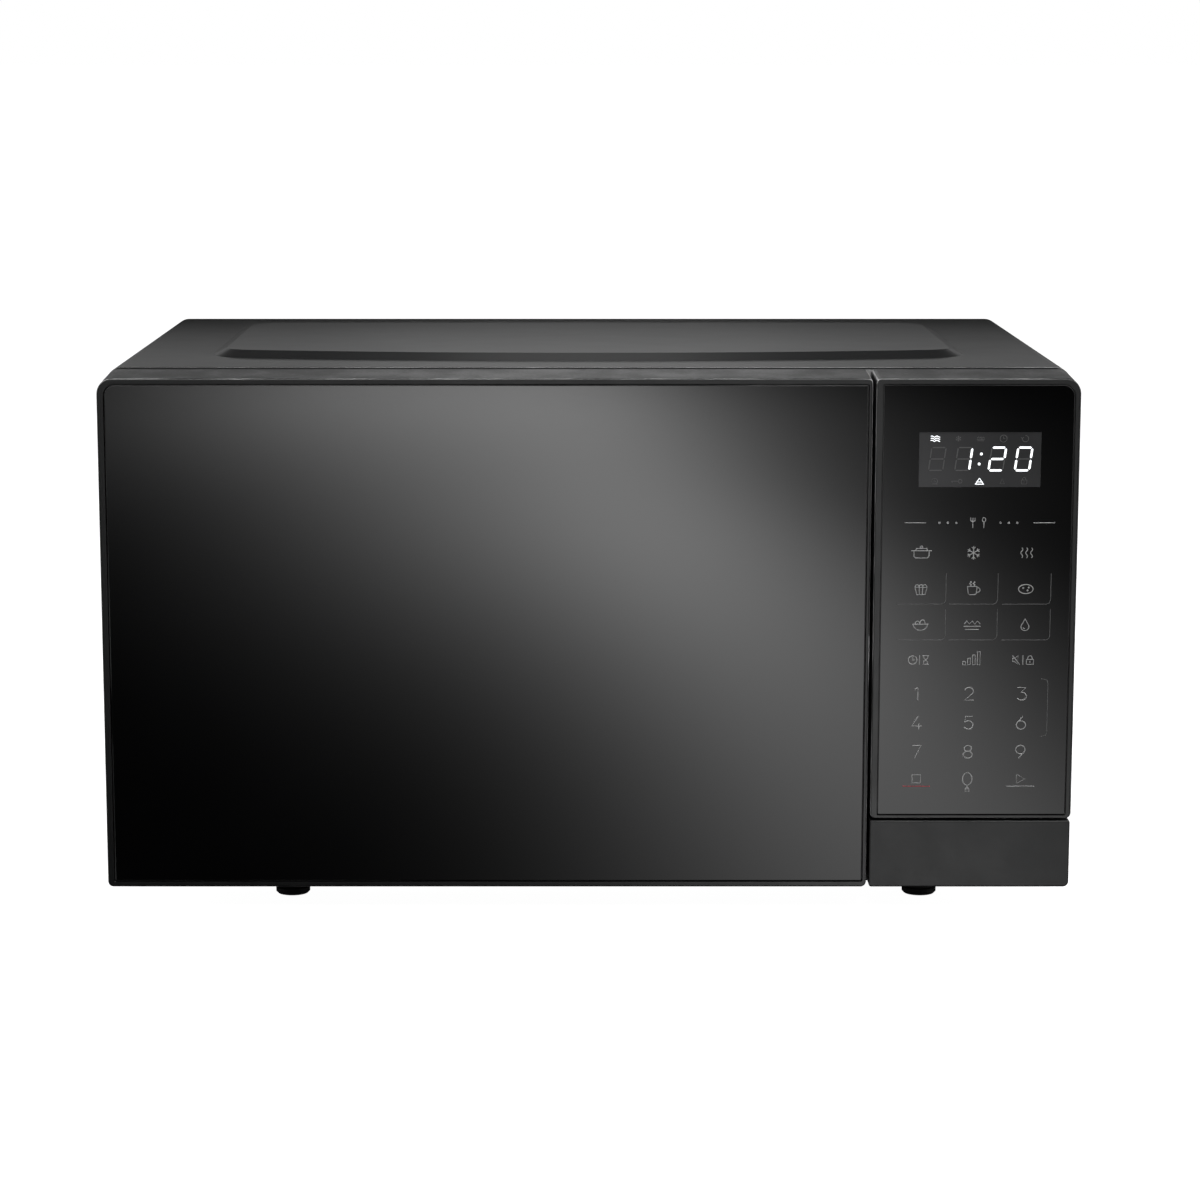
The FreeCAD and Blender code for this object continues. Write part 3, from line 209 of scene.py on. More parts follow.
def moulded(name, rgb, rough, grain=0.35, depth=0.01, edge_highlight=None, **fixed):
    """Moulded plastic with a fine spark-eroded grain and an optional painted highlight along its edges."""
    look = Look(name, **fixed)
    look.tone_and_edge_highlight(look.noise(28, 4), rgb, edge_highlight or rgb)
    handled = look.maths("ADD", look.noise(18, 3), look.span(look.noise(1.5, 2), -0.08, 0.08))
    look.rough(handled, rough - 0.05, rough + 0.06)
    look.relief(look.noise(grain, 3, 0.7), depth, 0.7)
    return look


def sheet_metal(name, rgb, rough, spangle=7.0, stretch=(8, 1, 1)):
    """Zinc-plated sheet: crystals of differing brightness under a rolled grain."""
    look = Look(name, Metallic=1.0)
    crystal = look.maths("MULTIPLY", look.cells(spangle, "Color"), 0.6)
    crystal = look.maths("ADD", crystal, look.noise(2.0, 3, 0.6, stretch))
    look.colour(crystal, (0.35, scaled(rgb, 0.78)), (0.85, scaled(rgb, 1.08)))
    look.rough(look.noise(5, 4, 0.6, stretch), rough - 0.07, rough + 0.1)
    look.relief(look.noise(0.5, 3, 0.7, stretch), 0.008, 0.5)
    return look


def drawn_metal(name, rgb, rough, grain=0.2):
    """Bare wire or turned metal with a fine grain."""
    look = Look(name, Metallic=1.0)
    look.colour(look.noise(3, 4), (0.3, scaled(rgb, 0.8)), (0.7, rgb))
    look.rough(look.noise(1.2, 3), rough - 0.08, rough + 0.1)
    look.relief(look.noise(grain, 3, 0.7), 0.006, 0.5)
    return look


def gloss_black(name, rgb, low, high, **fixed):
    """Black-backed gloss with a paler painted highlight along its edges, faint wipe marks and slight waves.
    """
    look = Look(name, IOR=1.52, **fixed)
    look.tone_and_edge_highlight(look.noise(90, 3), rgb, grey(0.1), 0.3)
    wipes = look.noise(45, 5, 0.6, (3, 1, 1), 0.4)
    wipes = look.maths("ADD", wipes, look.span(look.noise(1.4, 2), -0.06, 0.06))
    look.rough(wipes, low, high)
    look.relief(look.noise(160, 1), 0.02, 0.15)
    return look


def clear(name, rgb, rough, transmission=1.0, ior=1.5):
    """Clear glass or film, smudged here and there."""
    look = Look(name, Transmission_Weight=transmission, IOR=ior)
    look.colour(look.noise(70, 3), (0.3, scaled(rgb, 0.95)), (0.7, rgb))
    look.rough(look.noise(25, 4, 0.6), rough, rough + 0.05)
    return look


def make_looks():
    """One material for each slot of the record, by slot name."""
    looks = {
        # The case, door and buttons get a paler colour along their edges as a painted highlight.
        "case_paint": powder_coat("case_paint", grey(0.014, 0.02), 0.36, edge_highlight=grey(0.4)),
        "cavity_enamel": powder_coat("cavity_enamel", grey(0.36), 0.34, 0.9),
        "chassis_steel": sheet_metal("chassis_steel", grey(0.55, 0.01), 0.34),
        "door_plastic": moulded("door_plastic", grey(0.01, 0.02), 0.4, edge_highlight=grey(0.4)),
        "button_plastic": moulded("button_plastic", grey(0.014, 0.02), 0.38, edge_highlight=grey(0.08),
                                  Specular_IOR_Level=0.34),
        "dark_plastic": moulded("dark_plastic", grey(0.028, 0.01), 0.5),
        "white_plastic": moulded("white_plastic", (0.72, 0.71, 0.67), 0.42),
        "beige_plastic": moulded("beige_plastic", (0.6, 0.54, 0.41), 0.45),
        "black_glass": gloss_black("black_glass", (0.002, 0.002, 0.0022), 0.02, 0.06),
        "overlay_gloss": gloss_black("overlay_gloss", (0.002, 0.002, 0.0022), 0.03, 0.07),
        "display_lens": gloss_black("display_lens", (0.062, 0.062, 0.064), 0.05, 0.1),
        "clear_glass": clear("clear_glass", (0.93, 0.97, 0.95), 0.01),
        "window_film": clear("window_film", (0.72, 0.74, 0.73), 0.08, 0.85),
        "lamp_glass": clear("lamp_glass", (0.96, 0.94, 0.9), 0.02),
        "spring_steel": drawn_metal("spring_steel", grey(0.55), 0.3),
        "screw_steel": drawn_metal("screw_steel", grey(0.2, 0.02), 0.38),
        "aluminium": sheet_metal("aluminium", grey(0.72), 0.3, 18.0, (1, 1, 10)),
    }
    tray_low, tray_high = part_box("glass_tray")
    pressed = looks["clear_glass"].bands(7.5, "Z", rings=True, centre=(tray_low + tray_high) / 2)
    looks["clear_glass"].relief(pressed, 0.05, 0.25)

    heater = Look("heater_steel", Metallic=0.85)
    scale = heater.noise(14, 4, 0.65)
    heater.colour(scale, (0.3, (0.13, 0.12, 0.12)), (0.5, (0.2, 0.17, 0.15)), (0.7, (0.11, 0.12, 0.15)))
    heater.rough(heater.noise(3, 4), 0.4, 0.65).relief(heater.noise(0.6, 4, 0.7), 0.02, 0.6)
    looks["heater_steel"] = heater

    core = Look("lamination_steel", Metallic=0.7)
    core.colour(core.noise(9, 4), (0.3, (0.16, 0.15, 0.145)), (0.7, (0.3, 0.28, 0.26)))
    core.rough(core.noise(4, 3), 0.35, 0.6).relief(core.bands(0.5, "X", 0.3), 0.05, 0.8)
    looks["lamination_steel"] = core

    winding = Look("enamel_wire", Metallic=0.6, Coat_Weight=0.5, Coat_Roughness=0.15)
    turns_and_groove_shade = winding.bands(0.9, "Z", 0.5)
    # Darker in the grooves between the wire's windings and a little lighter on their crests, following the
    # bump: painted shade and highlight.
    winding.colour(turns_and_groove_shade, (0.0, (0.1, 0.03, 0.012)), (0.6, (0.5, 0.19, 0.08)), (1.0, (0.62, 0.27, 0.12)))
    winding.rough(winding.noise(5, 3), 0.25, 0.42).relief(turns_and_groove_shade, 0.3, 0.9)
    looks["enamel_wire"] = winding

    board = Look("circuit_board", Coat_Weight=0.4, Coat_Roughness=0.2)
    tracks = board.cells(5.5, feature="DISTANCE_TO_EDGE", stretch=(2.5, 1, 1))
    board.colour(tracks, (0.0, (0.14, 0.3, 0.1)), (0.09, (0.13, 0.28, 0.09)),
                 (0.11, (0.03, 0.13, 0.05)), (1.0, (0.025, 0.11, 0.045)))
    board.rough(board.noise(8, 3), 0.3, 0.5).relief(tracks, 0.05, 0.4)
    looks["circuit_board"] = board

    mica = Look("mica")
    flakes = mica.maths("MULTIPLY", mica.cells(2.2, "Color"), 0.5)
    flakes = mica.maths("ADD", flakes, mica.noise(12, 5, 0.7))
    mica.colour(flakes, (0.4, (0.4, 0.33, 0.24)), (0.7, (0.55, 0.48, 0.37)), (1.0, (0.72, 0.67, 0.56)))
    mica.rough(mica.noise(1.5, 3), 0.3, 0.6).relief(flakes, 0.04, 0.5)
    looks["mica"] = mica

    rubber = Look("foot_rubber")
    rubber.colour(rubber.noise(6, 4), (0.3, grey(0.008)), (0.7, grey(0.016)))
    rubber.rough(rubber.noise(3, 3), 0.5, 0.7).relief(rubber.noise(0.5, 3, 0.7), 0.03, 0.6)
    looks["foot_rubber"] = rubber

    lead = Look("lead_sheath")
    lead.colour(lead.noise(22, 3), (0.3, (0.34, 0.02, 0.016)), (0.7, (0.48, 0.035, 0.028)))
    lead.rough(lead.noise(4, 3), 0.35, 0.52).relief(lead.noise(0.8, 2), 0.02, 0.5)
    looks["lead_sheath"] = lead
    return looks


def make_screen_look():
    """Enamelled door screen with rows of small round perforations over its middle, drawn as near-black dots
    with a dent: painted shade of the dark inside seen through them.
    """
    look = Look("pierced_screen")
    low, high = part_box("door_screen")
    centre = (low + high) / 2
    hole_shade_dots = look.add("ShaderNodeTexVoronoi", feature="F1", voronoi_dimensions="2D")
    hole_shade_dots.inputs["Scale"].default_value = 1 / (SCREEN_HOLE_PITCH_MM * MM)
    hole_shade_dots.inputs["Randomness"].default_value = 0.0
    turn = look.add("ShaderNodeMapping")
    turn.inputs["Rotation"].default_value = (math.pi / 2, 0, 0)
    turn.inputs["Location"].default_value = (-centre.x, 0, 0)
    look.join(look.place, turn.inputs["Vector"])
    look.join(turn.outputs["Vector"], hole_shade_dots.inputs["Vector"])
    # Near-black dots: painted shade for the dark inside seen through each perforation.
    look.colour(hole_shade_dots.outputs["Distance"], (0.3, grey(0.006)), (0.36, grey(0.2)), (0.7, grey(0.3)))
    look.rough(look.noise(9, 3), 0.32, 0.48)
    look.relief(look.span(hole_shade_dots.outputs["Distance"], 0, 1, 0.28, 0.4), 0.3, 0.8)
    return look


def ink(name, level, tint=None):
    """Screen-printed ink, a little uneven in cover."""
    rgb = tint or grey(level)
    look = Look(name, Specular_IOR_Level=0.2)
    look.colour(look.noise(0.5, 3), (0.3, scaled(rgb, 0.86)), (0.7, scaled(rgb, 1.1)))
    look.rough(look.noise(2, 2), 0.45, 0.6).relief(look.noise(0.3, 2), 0.004, 0.4)
    return look


def lit(name, low, high, strength):
    """Lit display element, slightly brighter in places."""
    look = Look(name, Roughness=0.4, Emission_Strength=strength)
    cover = look.noise(3, 2)
    look.colour(cover, (0.3, scaled(low, 0.9)), (0.7, high), target="Emission Color")
    look.colour(cover, (0.3, scaled(low, 0.5)), (0.7, scaled(high, 0.6)))
    look.relief(look.noise(0.4, 2), 0.004, 0.3)
    return look


looks = make_looks()
screen_look = make_screen_look()
for name, node in nodes.items():
    look = screen_look if name == "door_screen" else looks[slot_of[name]]
    node.data.materials.clear()
    node.data.materials.append(look.material)


# ---------------------------------------------------------------- printing on the control plate

def arc(cx, cz, rx, rz, start, stop, count=14):
    """Points along an ellipse's arc; angles in degrees, anticlockwise from +X."""
    points = []
    for step in range(count + 1):
        angle = math.radians(start + (stop - start) * step / count)
        points.append((cx + rx * math.cos(angle), cz + rz * math.sin(angle)))
    return points


def ring(cx, cz, rx, rz=None, count=20):
    """A closed stroke round an ellipse."""
    points = arc(cx, cz, rx, rz or rx, 0, 360, count)
    return points[:-1] + points[:1]


def oblong(left, start, right, stop):
    """A closed stroke round a rectangle, from its corner (left, start)."""
    return [(left, start), (right, start), (right, stop), (left, stop), (left, start)]


# Strokes one unit high, from the foot of the digit up
DIGITS = {
    "0": [ring(0, 0.5, 0.36, 0.5)],
    "1": [[(-0.2, 0.84), (0.04, 1.0), (0.04, 0.0)]],
    "2": [arc(0, 0.7, 0.33, 0.3, 165, -38) + [(-0.34, 0.0), (0.37, 0.0)]],
    "3": [[(-0.3, 1.0), (0.3, 1.0), (-0.04, 0.62)] + arc(0, 0.31, 0.36, 0.31, 90, -155)],
    "4": [[(0.1, 1.0), (-0.4, 0.25), (0.4, 0.25)], [(0.17, 0.46), (0.17, 0.0)]],
    "5": [[(0.29, 1.0), (-0.22, 1.0), (-0.28, 0.52)] + arc(0, 0.33, 0.36, 0.33, 125, -150)],
    "6": [ring(0, 0.33, 0.36, 0.33), [(-0.31, 0.5), (0.12, 1.0)]],
    "7": [[(-0.34, 1.0), (0.34, 1.0), (-0.12, 0.0)]],
    "8": [ring(0, 0.76, 0.27, 0.24), ring(0, 0.27, 0.35, 0.27)],
    "9": [ring(0, 0.67, 0.36, 0.33), [(0.31, 0.5), (-0.12, 0.0)]],
}


def shifted(strokes, x, z, size=1.0):
    """The strokes at another size, round the point (x, z)."""
    return [[(x + px * size, z + pz * size) for px, pz in stroke] for stroke in strokes]


def raised(name, strokes, width, look, node, slot="white_plastic", lift=0.05):
    """Strokes on the node's front as low rounded ridges of ink, lift high.

    The strokes are measured from the front's lower left corner. Strokes, width and lift are in
    millimetres.
    """
    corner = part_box(node)[0]
    curve = bpy.data.curves.new(name, "CURVE")
    curve.dimensions = "3D"
    curve.bevel_depth = width / 2 * MM
    curve.bevel_resolution = 1
    curve.use_fill_caps = True
    for stroke in strokes:
        closed = math.dist(stroke[0], stroke[-1]) < 1e-6
        points = stroke[:-1] if closed else stroke
        spline = curve.splines.new("POLY")
        spline.points.add(len(points) - 1)
        for point, (x, z) in zip(spline.points, points):
            point.co = (corner.x + x * MM, 0, corner.z + z * MM, 1)
        spline.use_cyclic_u = closed
    drawn = bpy.data.objects.new(name + "_line", curve)
    scene.collection.objects.link(drawn)
    bpy.context.view_layer.update()
    mesh = bpy.data.meshes.new_from_object(drawn.evaluated_get(bpy.context.evaluated_depsgraph_get()))
    bpy.data.objects.remove(drawn)
    flat = 2 * lift / width
    for vertex in mesh.vertices:
        vertex.co.y = corner.y + vertex.co.y * flat
    mesh.materials.clear()
    mesh.materials.append(look.material)
    return place(name, mesh, "chassis", slot)


def place(name, mesh, body, slot):
    """A new piece of that mesh, riding on the body."""
    piece = bpy.data.objects.new(name, mesh)
    scene.collection.objects.link(piece)
    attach(piece, body)
    return piece


def plates(name, polygons, look, node, thick):
    """Flat plates on the node's front, from closed outlines measured from its lower left corner.

    The outlines and thick are in millimetres.
    """
    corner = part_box(node)[0]
    points, faces = [], []
    for outline in polygons:
        base, count = len(points), len(outline)
        for y in (corner.y - thick * MM, corner.y):
            points.extend((corner.x + x * MM, y, corner.z + z * MM) for x, z in outline)
        faces.append([base + i for i in range(count)])
        faces.append([base + count + i for i in reversed(range(count))])
        for i in range(count):
            after = (i + 1) % count
            faces.append([base + i, base + count + i, base + count + after, base + after])
    mesh = bpy.data.meshes.new(name)
    mesh.from_pydata(points, [], faces)
    mesh.validate()
    mesh.update()
    mesh.materials.append(look.material)
    return place(name, mesh, "chassis", slot_of[node])


# Centres of the keys and the heading, from the control plate's lower left corner
COLUMNS_MM = (18.1, 41.5, 65.4)
ROWS_MM = {"cook": 120.6, "preset": 104.1, "melt": 87.7, "power": 71.6}
DIGIT_ROWS_MM = ((56.0, "123"), (42.6, "456"), (29.2, "789"))
LAST_ROW_MM = 15.2
HEADING_MM = 134.2
DIGIT_HEIGHT_MM, DIGIT_LEFT_MM = 5.9, 0.8
ICON_PEN_MM, DIGIT_PEN_MM, BORDER_PEN_MM = 0.42, 0.5, 0.3


def pot():
    sides = [(-3.4, 0.9), (-3.4, -1.6), (-2.6, -2.4), (2.6, -2.4), (3.4, -1.6), (3.4, 0.9)]
    lid = [(-2.8, 0.9), (-2.2, 2.0), (2.2, 2.0), (2.8, 0.9)]
    return [sides, [(-4.6, 0.9), (4.6, 0.9)], lid, ring(0, 2.6, 0.5)]


def snowflake():
    strokes = []
    for step in range(6):
        angle = math.radians(30 + 60 * step)
        along = Vector((math.cos(angle), math.sin(angle)))
        side = Vector((-math.sin(angle), math.cos(angle)))
        strokes.append([(0, 0), tuple(along * 3.0)])
        strokes.append([tuple(along * 2.6 + side * 0.8), tuple(along * 1.8), tuple(along * 2.6 - side * 0.8)])
    return strokes


def steam(count=3, pitch=2.2, height=4.6):
    strokes = []
    for step in range(count):
        x = (step - (count - 1) / 2) * pitch
        wisp = [(x + 0.45 * math.sin(k * math.pi / 4), height * k / 12 - height / 2) for k in range(13)]
        strokes.append(wisp)
    return strokes


def tub():
    puffs = [arc(x, 0.9, 0.95, 1.1, 185, -5, 8) for x in (-1.7, 0, 1.7)]
    sides = [(-2.7, 0.8), (-1.9, -2.6), (1.9, -2.6), (2.7, 0.8), (-2.7, 0.8)]
    return puffs + [sides, [(-0.8, 0.8), (-0.6, -2.6)], [(0.8, 0.8), (0.6, -2.6)]]


def cup():
    sides = [(-2.4, 1.2), (-2.1, -2.0), (-1.4, -2.6), (0.9, -2.6), (1.6, -2.0), (1.9, 1.2), (-2.4, 1.2)]
    handle = arc(1.9, -0.4, 1.4, 1.1, 80, -100, 8)
    return [sides, handle] + shifted(steam(2, 1.6, 1.8), -0.3, 2.5)


def tuber():
    eyes = [ring(x, z, 0.28, None, 6) for x, z in ((-1.2, 0.5), (0.8, -0.6), (1.3, 0.7))]
    return [ring(0, 0, 3.3, 2.1)] + eyes


def bowl():
    heap = [arc(-1.3, 0.4, 1.0, 1.4, 180, 0, 8), arc(1.0, 0.4, 1.2, 1.9, 180, 0, 8)]
    return [[(-3.6, 0.3), (3.6, 0.3)], arc(0, 0.3, 3.2, 2.8, 180, 360)] + heap


def grill():
    zigzag = [(-3.6 + 1.2 * k, 1.8 if k % 2 else 0.4) for k in range(7)]
    return [zigzag, [(-3.8, -0.7), (3.8, -0.7)], [(-3.2, -2.1), (3.2, -2.1)]]


def drop():
    outline = [(0, 2.8), (-1.7, -0.3)] + arc(0, -0.9, 1.8, 1.7, 160, 380, 12) + [(1.7, -0.3), (0, 2.8)]
    return [outline, arc(0, -0.9, 0.9, 0.85, 200, 270, 5)]


def clock_and_glass():
    clock = [ring(-3.2, 0, 1.95), [(-3.2, 1.1), (-3.2, 0), (-2.2, -0.1)]]
    glass = [
        [(1.3, 2.0), (4.1, 2.0)], [(1.3, -2.0), (4.1, -2.0)],
        [(1.7, 2.0), (1.8, 0.9), (3.6, -0.9), (3.7, -2.0)],
        [(3.7, 2.0), (3.6, 0.9), (1.8, -0.9), (1.7, -2.0)],
    ]
    return clock + [[(-0.1, 2.2), (-0.1, -2.2)]] + glass


def level_bars():
    strokes = []
    for step in range(4):
        x, top = -3.3 + 2.2 * step, -2.2 + 1.5 * (step + 1)
        strokes.append(oblong(x - 0.6, -2.2, x + 0.6, top))
    return strokes


def mute_and_lock():
    speaker = [(-5.2, 0.8), (-4.2, 0.8), (-2.9, 2.0), (-2.9, -2.0), (-4.2, -0.8), (-5.2, -0.8), (-5.2, 0.8)]
    strike, divider = [(-5.4, 2.1), (-2.0, -2.1)], [(-0.6, 2.2), (-0.6, -2.2)]
    return [speaker, strike, divider] + shifted(padlock(), 2.6, 0.0)


def padlock():
    return [oblong(-1.6, 0.3, 1.6, -2.0), arc(0, 0.3, 1.05, 1.7, 180, 0, 10), [(0, -0.5), (0, -1.2)]]


def make_printing():
    """Icons, digits and dividing lines on the control plate; the drawings are in millimetres."""
    grey_ink, faint_ink = ink("key_ink", 0.6), ink("border_ink", 0.2)
    icons = (
        ("cook", (pot(), snowflake(), steam())),
        ("preset", (tub(), cup(), tuber())),
        ("melt", (bowl(), grill(), drop())),
        ("power", (clock_and_glass(), level_bars(), mute_and_lock())),
    )
    strokes = []
    for row, drawings in icons:
        for x, drawing in zip(COLUMNS_MM, drawings):
            strokes.extend(shifted(drawing, x, ROWS_MM[row]))
    raised("key_icons", strokes, ICON_PEN_MM, grey_ink, "control_overlay")

    numbers = []
    for z, row in DIGIT_ROWS_MM:
        for x, digit in zip(COLUMNS_MM, row):
            left, foot = x - DIGIT_LEFT_MM, z - DIGIT_HEIGHT_MM / 2
            numbers.extend(shifted(DIGITS[digit], left, foot, DIGIT_HEIGHT_MM))
    middle = COLUMNS_MM[1] - DIGIT_LEFT_MM
    numbers.extend(shifted(DIGITS["0"], middle, LAST_ROW_MM - 1.6, DIGIT_HEIGHT_MM))
    raised("key_digits", numbers, DIGIT_PEN_MM, grey_ink, "control_overlay")

    z = LAST_ROW_MM + 1.4
    underline = z - 3.4
    stop, start = COLUMNS_MM[0] - 0.6, COLUMNS_MM[2] - 0.6
    square = oblong(stop - 1.9, z - 1.9, stop + 1.9, z + 1.9)
    triangle = [(start - 1.6, z - 2.1), (start + 2.1, z), (start - 1.6, z + 2.1), (start - 1.6, z - 2.1)]
    keys = [square, triangle, [(start - 6.4, underline), (start + 6.4, underline)]]
    keys += shifted(padlock(), middle, LAST_ROW_MM - 3.4, 0.55)
    raised("stop_and_start", keys, ICON_PEN_MM, grey_ink, "control_overlay")
    red_ink = ink("stop_ink", 0, (0.6, 0.06, 0.08))
    red_line = [(stop - 6.3, underline), (stop + 6.3, underline)]
    raised("stop_underline", [red_line], 0.36, red_ink, "control_overlay")

    heading = [[(left, HEADING_MM), (right, HEADING_MM)] for left, right in ((10.2, 19.9), (68.2, 77.8))]
    prongs = [(-1.0, 2.3), (-1.0, 1.0), (0, 0.4), (1.0, 1.0), (1.0, 2.3)]
    fork = [[(0, -2.3), (0, 0.4)], prongs, [(0, 0.4), (0, 2.3)]]
    spoon = [[(0, -2.3), (0, 0.5)], ring(0, 1.4, 0.75, 1.0, 12)]
    heading += shifted(fork, 40.9, HEADING_MM) + shifted(spoon, 45.9, HEADING_MM)
    heading += [ring(x, HEADING_MM, 0.35, None, 8) for x in (25.9, 29.7, 33.5, 53.3, 57.1, 60.9)]
    raised("heading", heading, 0.4, grey_ink, "control_overlay")

    borders = []
    for z in (ROWS_MM["preset"], ROWS_MM["melt"]):
        for x in COLUMNS_MM:
            right, low = x + 11.3, z - 6.9
            corner = [(right - 2.0, low), (right - 0.6, low + 0.6), (right, low + 2.0)]
            borders.append([(x - 10.6, low)] + corner + [(right, z + 7.2)])
    right = COLUMNS_MM[2] + 11.0
    top, low = DIGIT_ROWS_MM[0][0] + 7.0, DIGIT_ROWS_MM[1][0] - 6.4
    upper = [(right - 3.0, top), (right - 0.6, top - 0.4), (right, top - 2)]
    lower = [(right, low + 2), (right - 0.6, low + 0.6), (right - 3.0, low)]
    borders.append(upper + lower)
    raised("key_borders", borders, BORDER_PEN_MM, faint_ink, "control_overlay", lift=0.03)


# ---------------------------------------------------------------- clock display

SLANT = 0.13
SEGMENT_INSET_MM, SEGMENT_GAP_MM = 0.62, 0.3
LIT_WIDTH_MM, UNLIT_WIDTH_MM = 0.95, 0.5
# Places on the display, from the window's lower left corner
DISPLAY_LEFT_MM = (4.0, 15.8, 30.9, 42.7)
DISPLAY_FOOT_MM, DISPLAY_HEIGHT_MM, DISPLAY_WIDTH_MM = 7.2, 10.9, 7.0
DISPLAY_THICK_MM = 0.05
HIGH_ICONS_MM, LOW_ICONS_MM = 21.8, 2.6
# Each bar's two ends, as shares of the digit's width and height
SEGMENTS = {
    "top": ((0, 1), (1, 1)), "middle": ((0, 0.5), (1, 0.5)), "foot": ((0, 0), (1, 0)),
    "left_high": ((0, 0.5), (0, 1)), "right_high": ((1, 0.5), (1, 1)),
    "left_low": ((0, 0), (0, 0.5)), "right_low": ((1, 0), (1, 0.5)),
}
# The bars that glow in each of the four places
SHOWN = (
    (), ("right_high", "right_low"), ("top", "right_high", "middle", "left_low", "foot"),
    ("top", "left_high", "right_high", "left_low", "right_low", "foot"),
)


def segment(left, ends, width):
    """Pointed bar of a slanted seven-segment digit."""
    left, foot = left + SEGMENT_INSET_MM / 2, DISPLAY_FOOT_MM + SEGMENT_INSET_MM / 2
    across, up = DISPLAY_WIDTH_MM - SEGMENT_INSET_MM, DISPLAY_HEIGHT_MM - SEGMENT_INSET_MM
    start, stop = (Vector((left + x * across, foot + z * up)) for x, z in ends)
    along = (stop - start).normalized()
    side = Vector((-along.y, along.x)) * width / 2
    tip, shoulder = along * SEGMENT_GAP_MM, along * (SEGMENT_GAP_MM + width / 2)
    outline = [start + tip, start + shoulder - side, stop - shoulder - side,
               stop - tip, stop - shoulder + side, start + shoulder + side]
    return [(point.x + (point.y - DISPLAY_FOOT_MM) * SLANT, point.y) for point in outline]


def disc(x, z, radius, count=12):
    """Outline of a round dot."""
    return ring(x, z, radius, None, count)[:-1]


def make_display():
    """Lit and unlit bars of the clock, with two rows of small icons."""
    on, off = [], []
    for left, shown in zip(DISPLAY_LEFT_MM, SHOWN):
        for key, ends in SEGMENTS.items():
            if key in shown:
                on.append(segment(left, ends, LIT_WIDTH_MM))
            else:
                off.append(segment(left, ends, UNLIT_WIDTH_MM))
    on += [disc(27.9, 14.9, 0.62), disc(27.0, 10.4, 0.62)]
    glow = lit("display_lit", (0.9, 0.95, 1.0), (1.0, 1.0, 1.0), 1.6)
    ghost = ink("display_unlit", 0.15)
    plates("display_digits", on, glow, "display_window", DISPLAY_THICK_MM)
    plates("display_digits_off", off, ghost, "display_window", DISPLAY_THICK_MM)

    high, low = HIGH_ICONS_MM, LOW_ICONS_MM
    waves = []
    for level in (-0.95, 0, 0.95):
        wave = [(5.1 + 0.35 * k, high + level + 0.28 * math.sin(k * math.pi / 3.2)) for k in range(13)]
        waves.append(wave)
    tripod = [[(27.3 + reach, low - 1.2), (27.3, low + 1.4)] for reach in (-1.7, 1.7)]
    tripod += [[(25.9, low - 0.3), (28.7, low - 0.3)], [(25.3, low - 1.3), (29.3, low - 1.3)]]
    raised("display_icons", waves + tripod, 0.38, glow, "display_window", "display_lens", 0.04)

    hands = [ring(0, 0, 2.6), [(0, 1.6), (0, 0), (1.4, 0)]]
    turn_back = [arc(0, 0, 2.6, 2.6, 90, -180, 14), [(-2.6, 0), (-3.6, 1.2)], [(-2.6, 0), (-1.4, 1.1)]]
    legs = [[(-1.6, -2.2), (-2.2, -3)], [(1.6, -2.2), (2.2, -3)]]
    alarm = [ring(0, 0, 2.4), [(0, 1.4), (0, 0), (1.2, 0)]] + legs
    key = [[(-4, 0), (1.2, 0)], [(-3.4, 0), (-3.4, -1)], ring(2.6, 0, 1.4)]
    triangle = [[(-1.8, -2), (1.8, -2), (0, 1.8), (-1.8, -2)]]
    dim = shifted(snowflake(), 17.5, high, 0.42) + shifted(grill(), 27.5, high, 0.45)
    dim += shifted(hands, 37.7, high, 0.6) + shifted(turn_back, 47.5, high, 0.55)
    dim += shifted(alarm, 7.2, low, 0.55) + shifted(key, 17.1, low, 0.6)
    dim += shifted(triangle, 37.5, low, 0.55) + shifted(padlock(), 47.3, low + 0.3, 0.75)
    raised("display_icons_off", dim, 0.3, ghost, "display_window", "display_lens", 0.03)


make_printing()
make_display()


# ---------------------------------------------------------------- springs

def make_spring(name, node, body):
    """A copy of the node's coil spring, riding on the body in place of the hidden node."""
    piece = place(name, nodes[node].data.copy(), body, slot_of[node])
    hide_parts(node)
    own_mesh(piece)


make_spring("button_spring_coils", "button_springs", "chassis")
make_spring("latch_spring_coil", "latch_spring", "door")


# ---------------------------------------------------------------- stage, light, camera

# Soft pools of light on the table in front of the oven, which its black front mirrors.
# Reach is how far a pool fades, across and along, and turn is in degrees. They were first matched
# to the glass's shading in the photo by a least-squares fit, and then rounded.
POOLS = {
    "long": {"strength": 1.86, "centre": (0.114, -0.98), "reach": (0.13, 2.3), "turn": -4},
    "near": {"strength": 1.8, "centre": (-0.007, -1.38), "reach": (0.195, 0.67), "turn": -8},
    "far": {"strength": 3.4, "centre": (-0.148, -2.53), "reach": (0.295, 0.79), "turn": -7},
}
POOL_HEIGHT = 0.001
# Edges of the black strip behind the oven
FLAG_HALF, FLAG_LOW, FLAG_HIGH, FLAG_BACK = 0.27, 0.05, 0.315, 0.26
# The photo's view, from a fit to the oven's corners: place, angle down in degrees, lens and sensor
# in millimetres, shift of the frame
CAMERA_PLACE = (-0.0053, -1.7001, 0.3941)
CAMERA_DOWN, CAMERA_LENS_MM, CAMERA_SENSOR_MM = 10.139, 103.59, 36.0
CAMERA_SHIFT = (0.0192, 0.05)


def stage_plane(name, corners, material):
    """Four-cornered sheet that belongs to the stage, not to the oven."""
    mesh = bpy.data.meshes.new(name)
    mesh.from_pydata(corners, [], [(0, 1, 2, 3)])
    mesh.materials.append(material)
    plane = bpy.data.objects.new(name, mesh)
    scene.collection.objects.link(plane)
    return plane


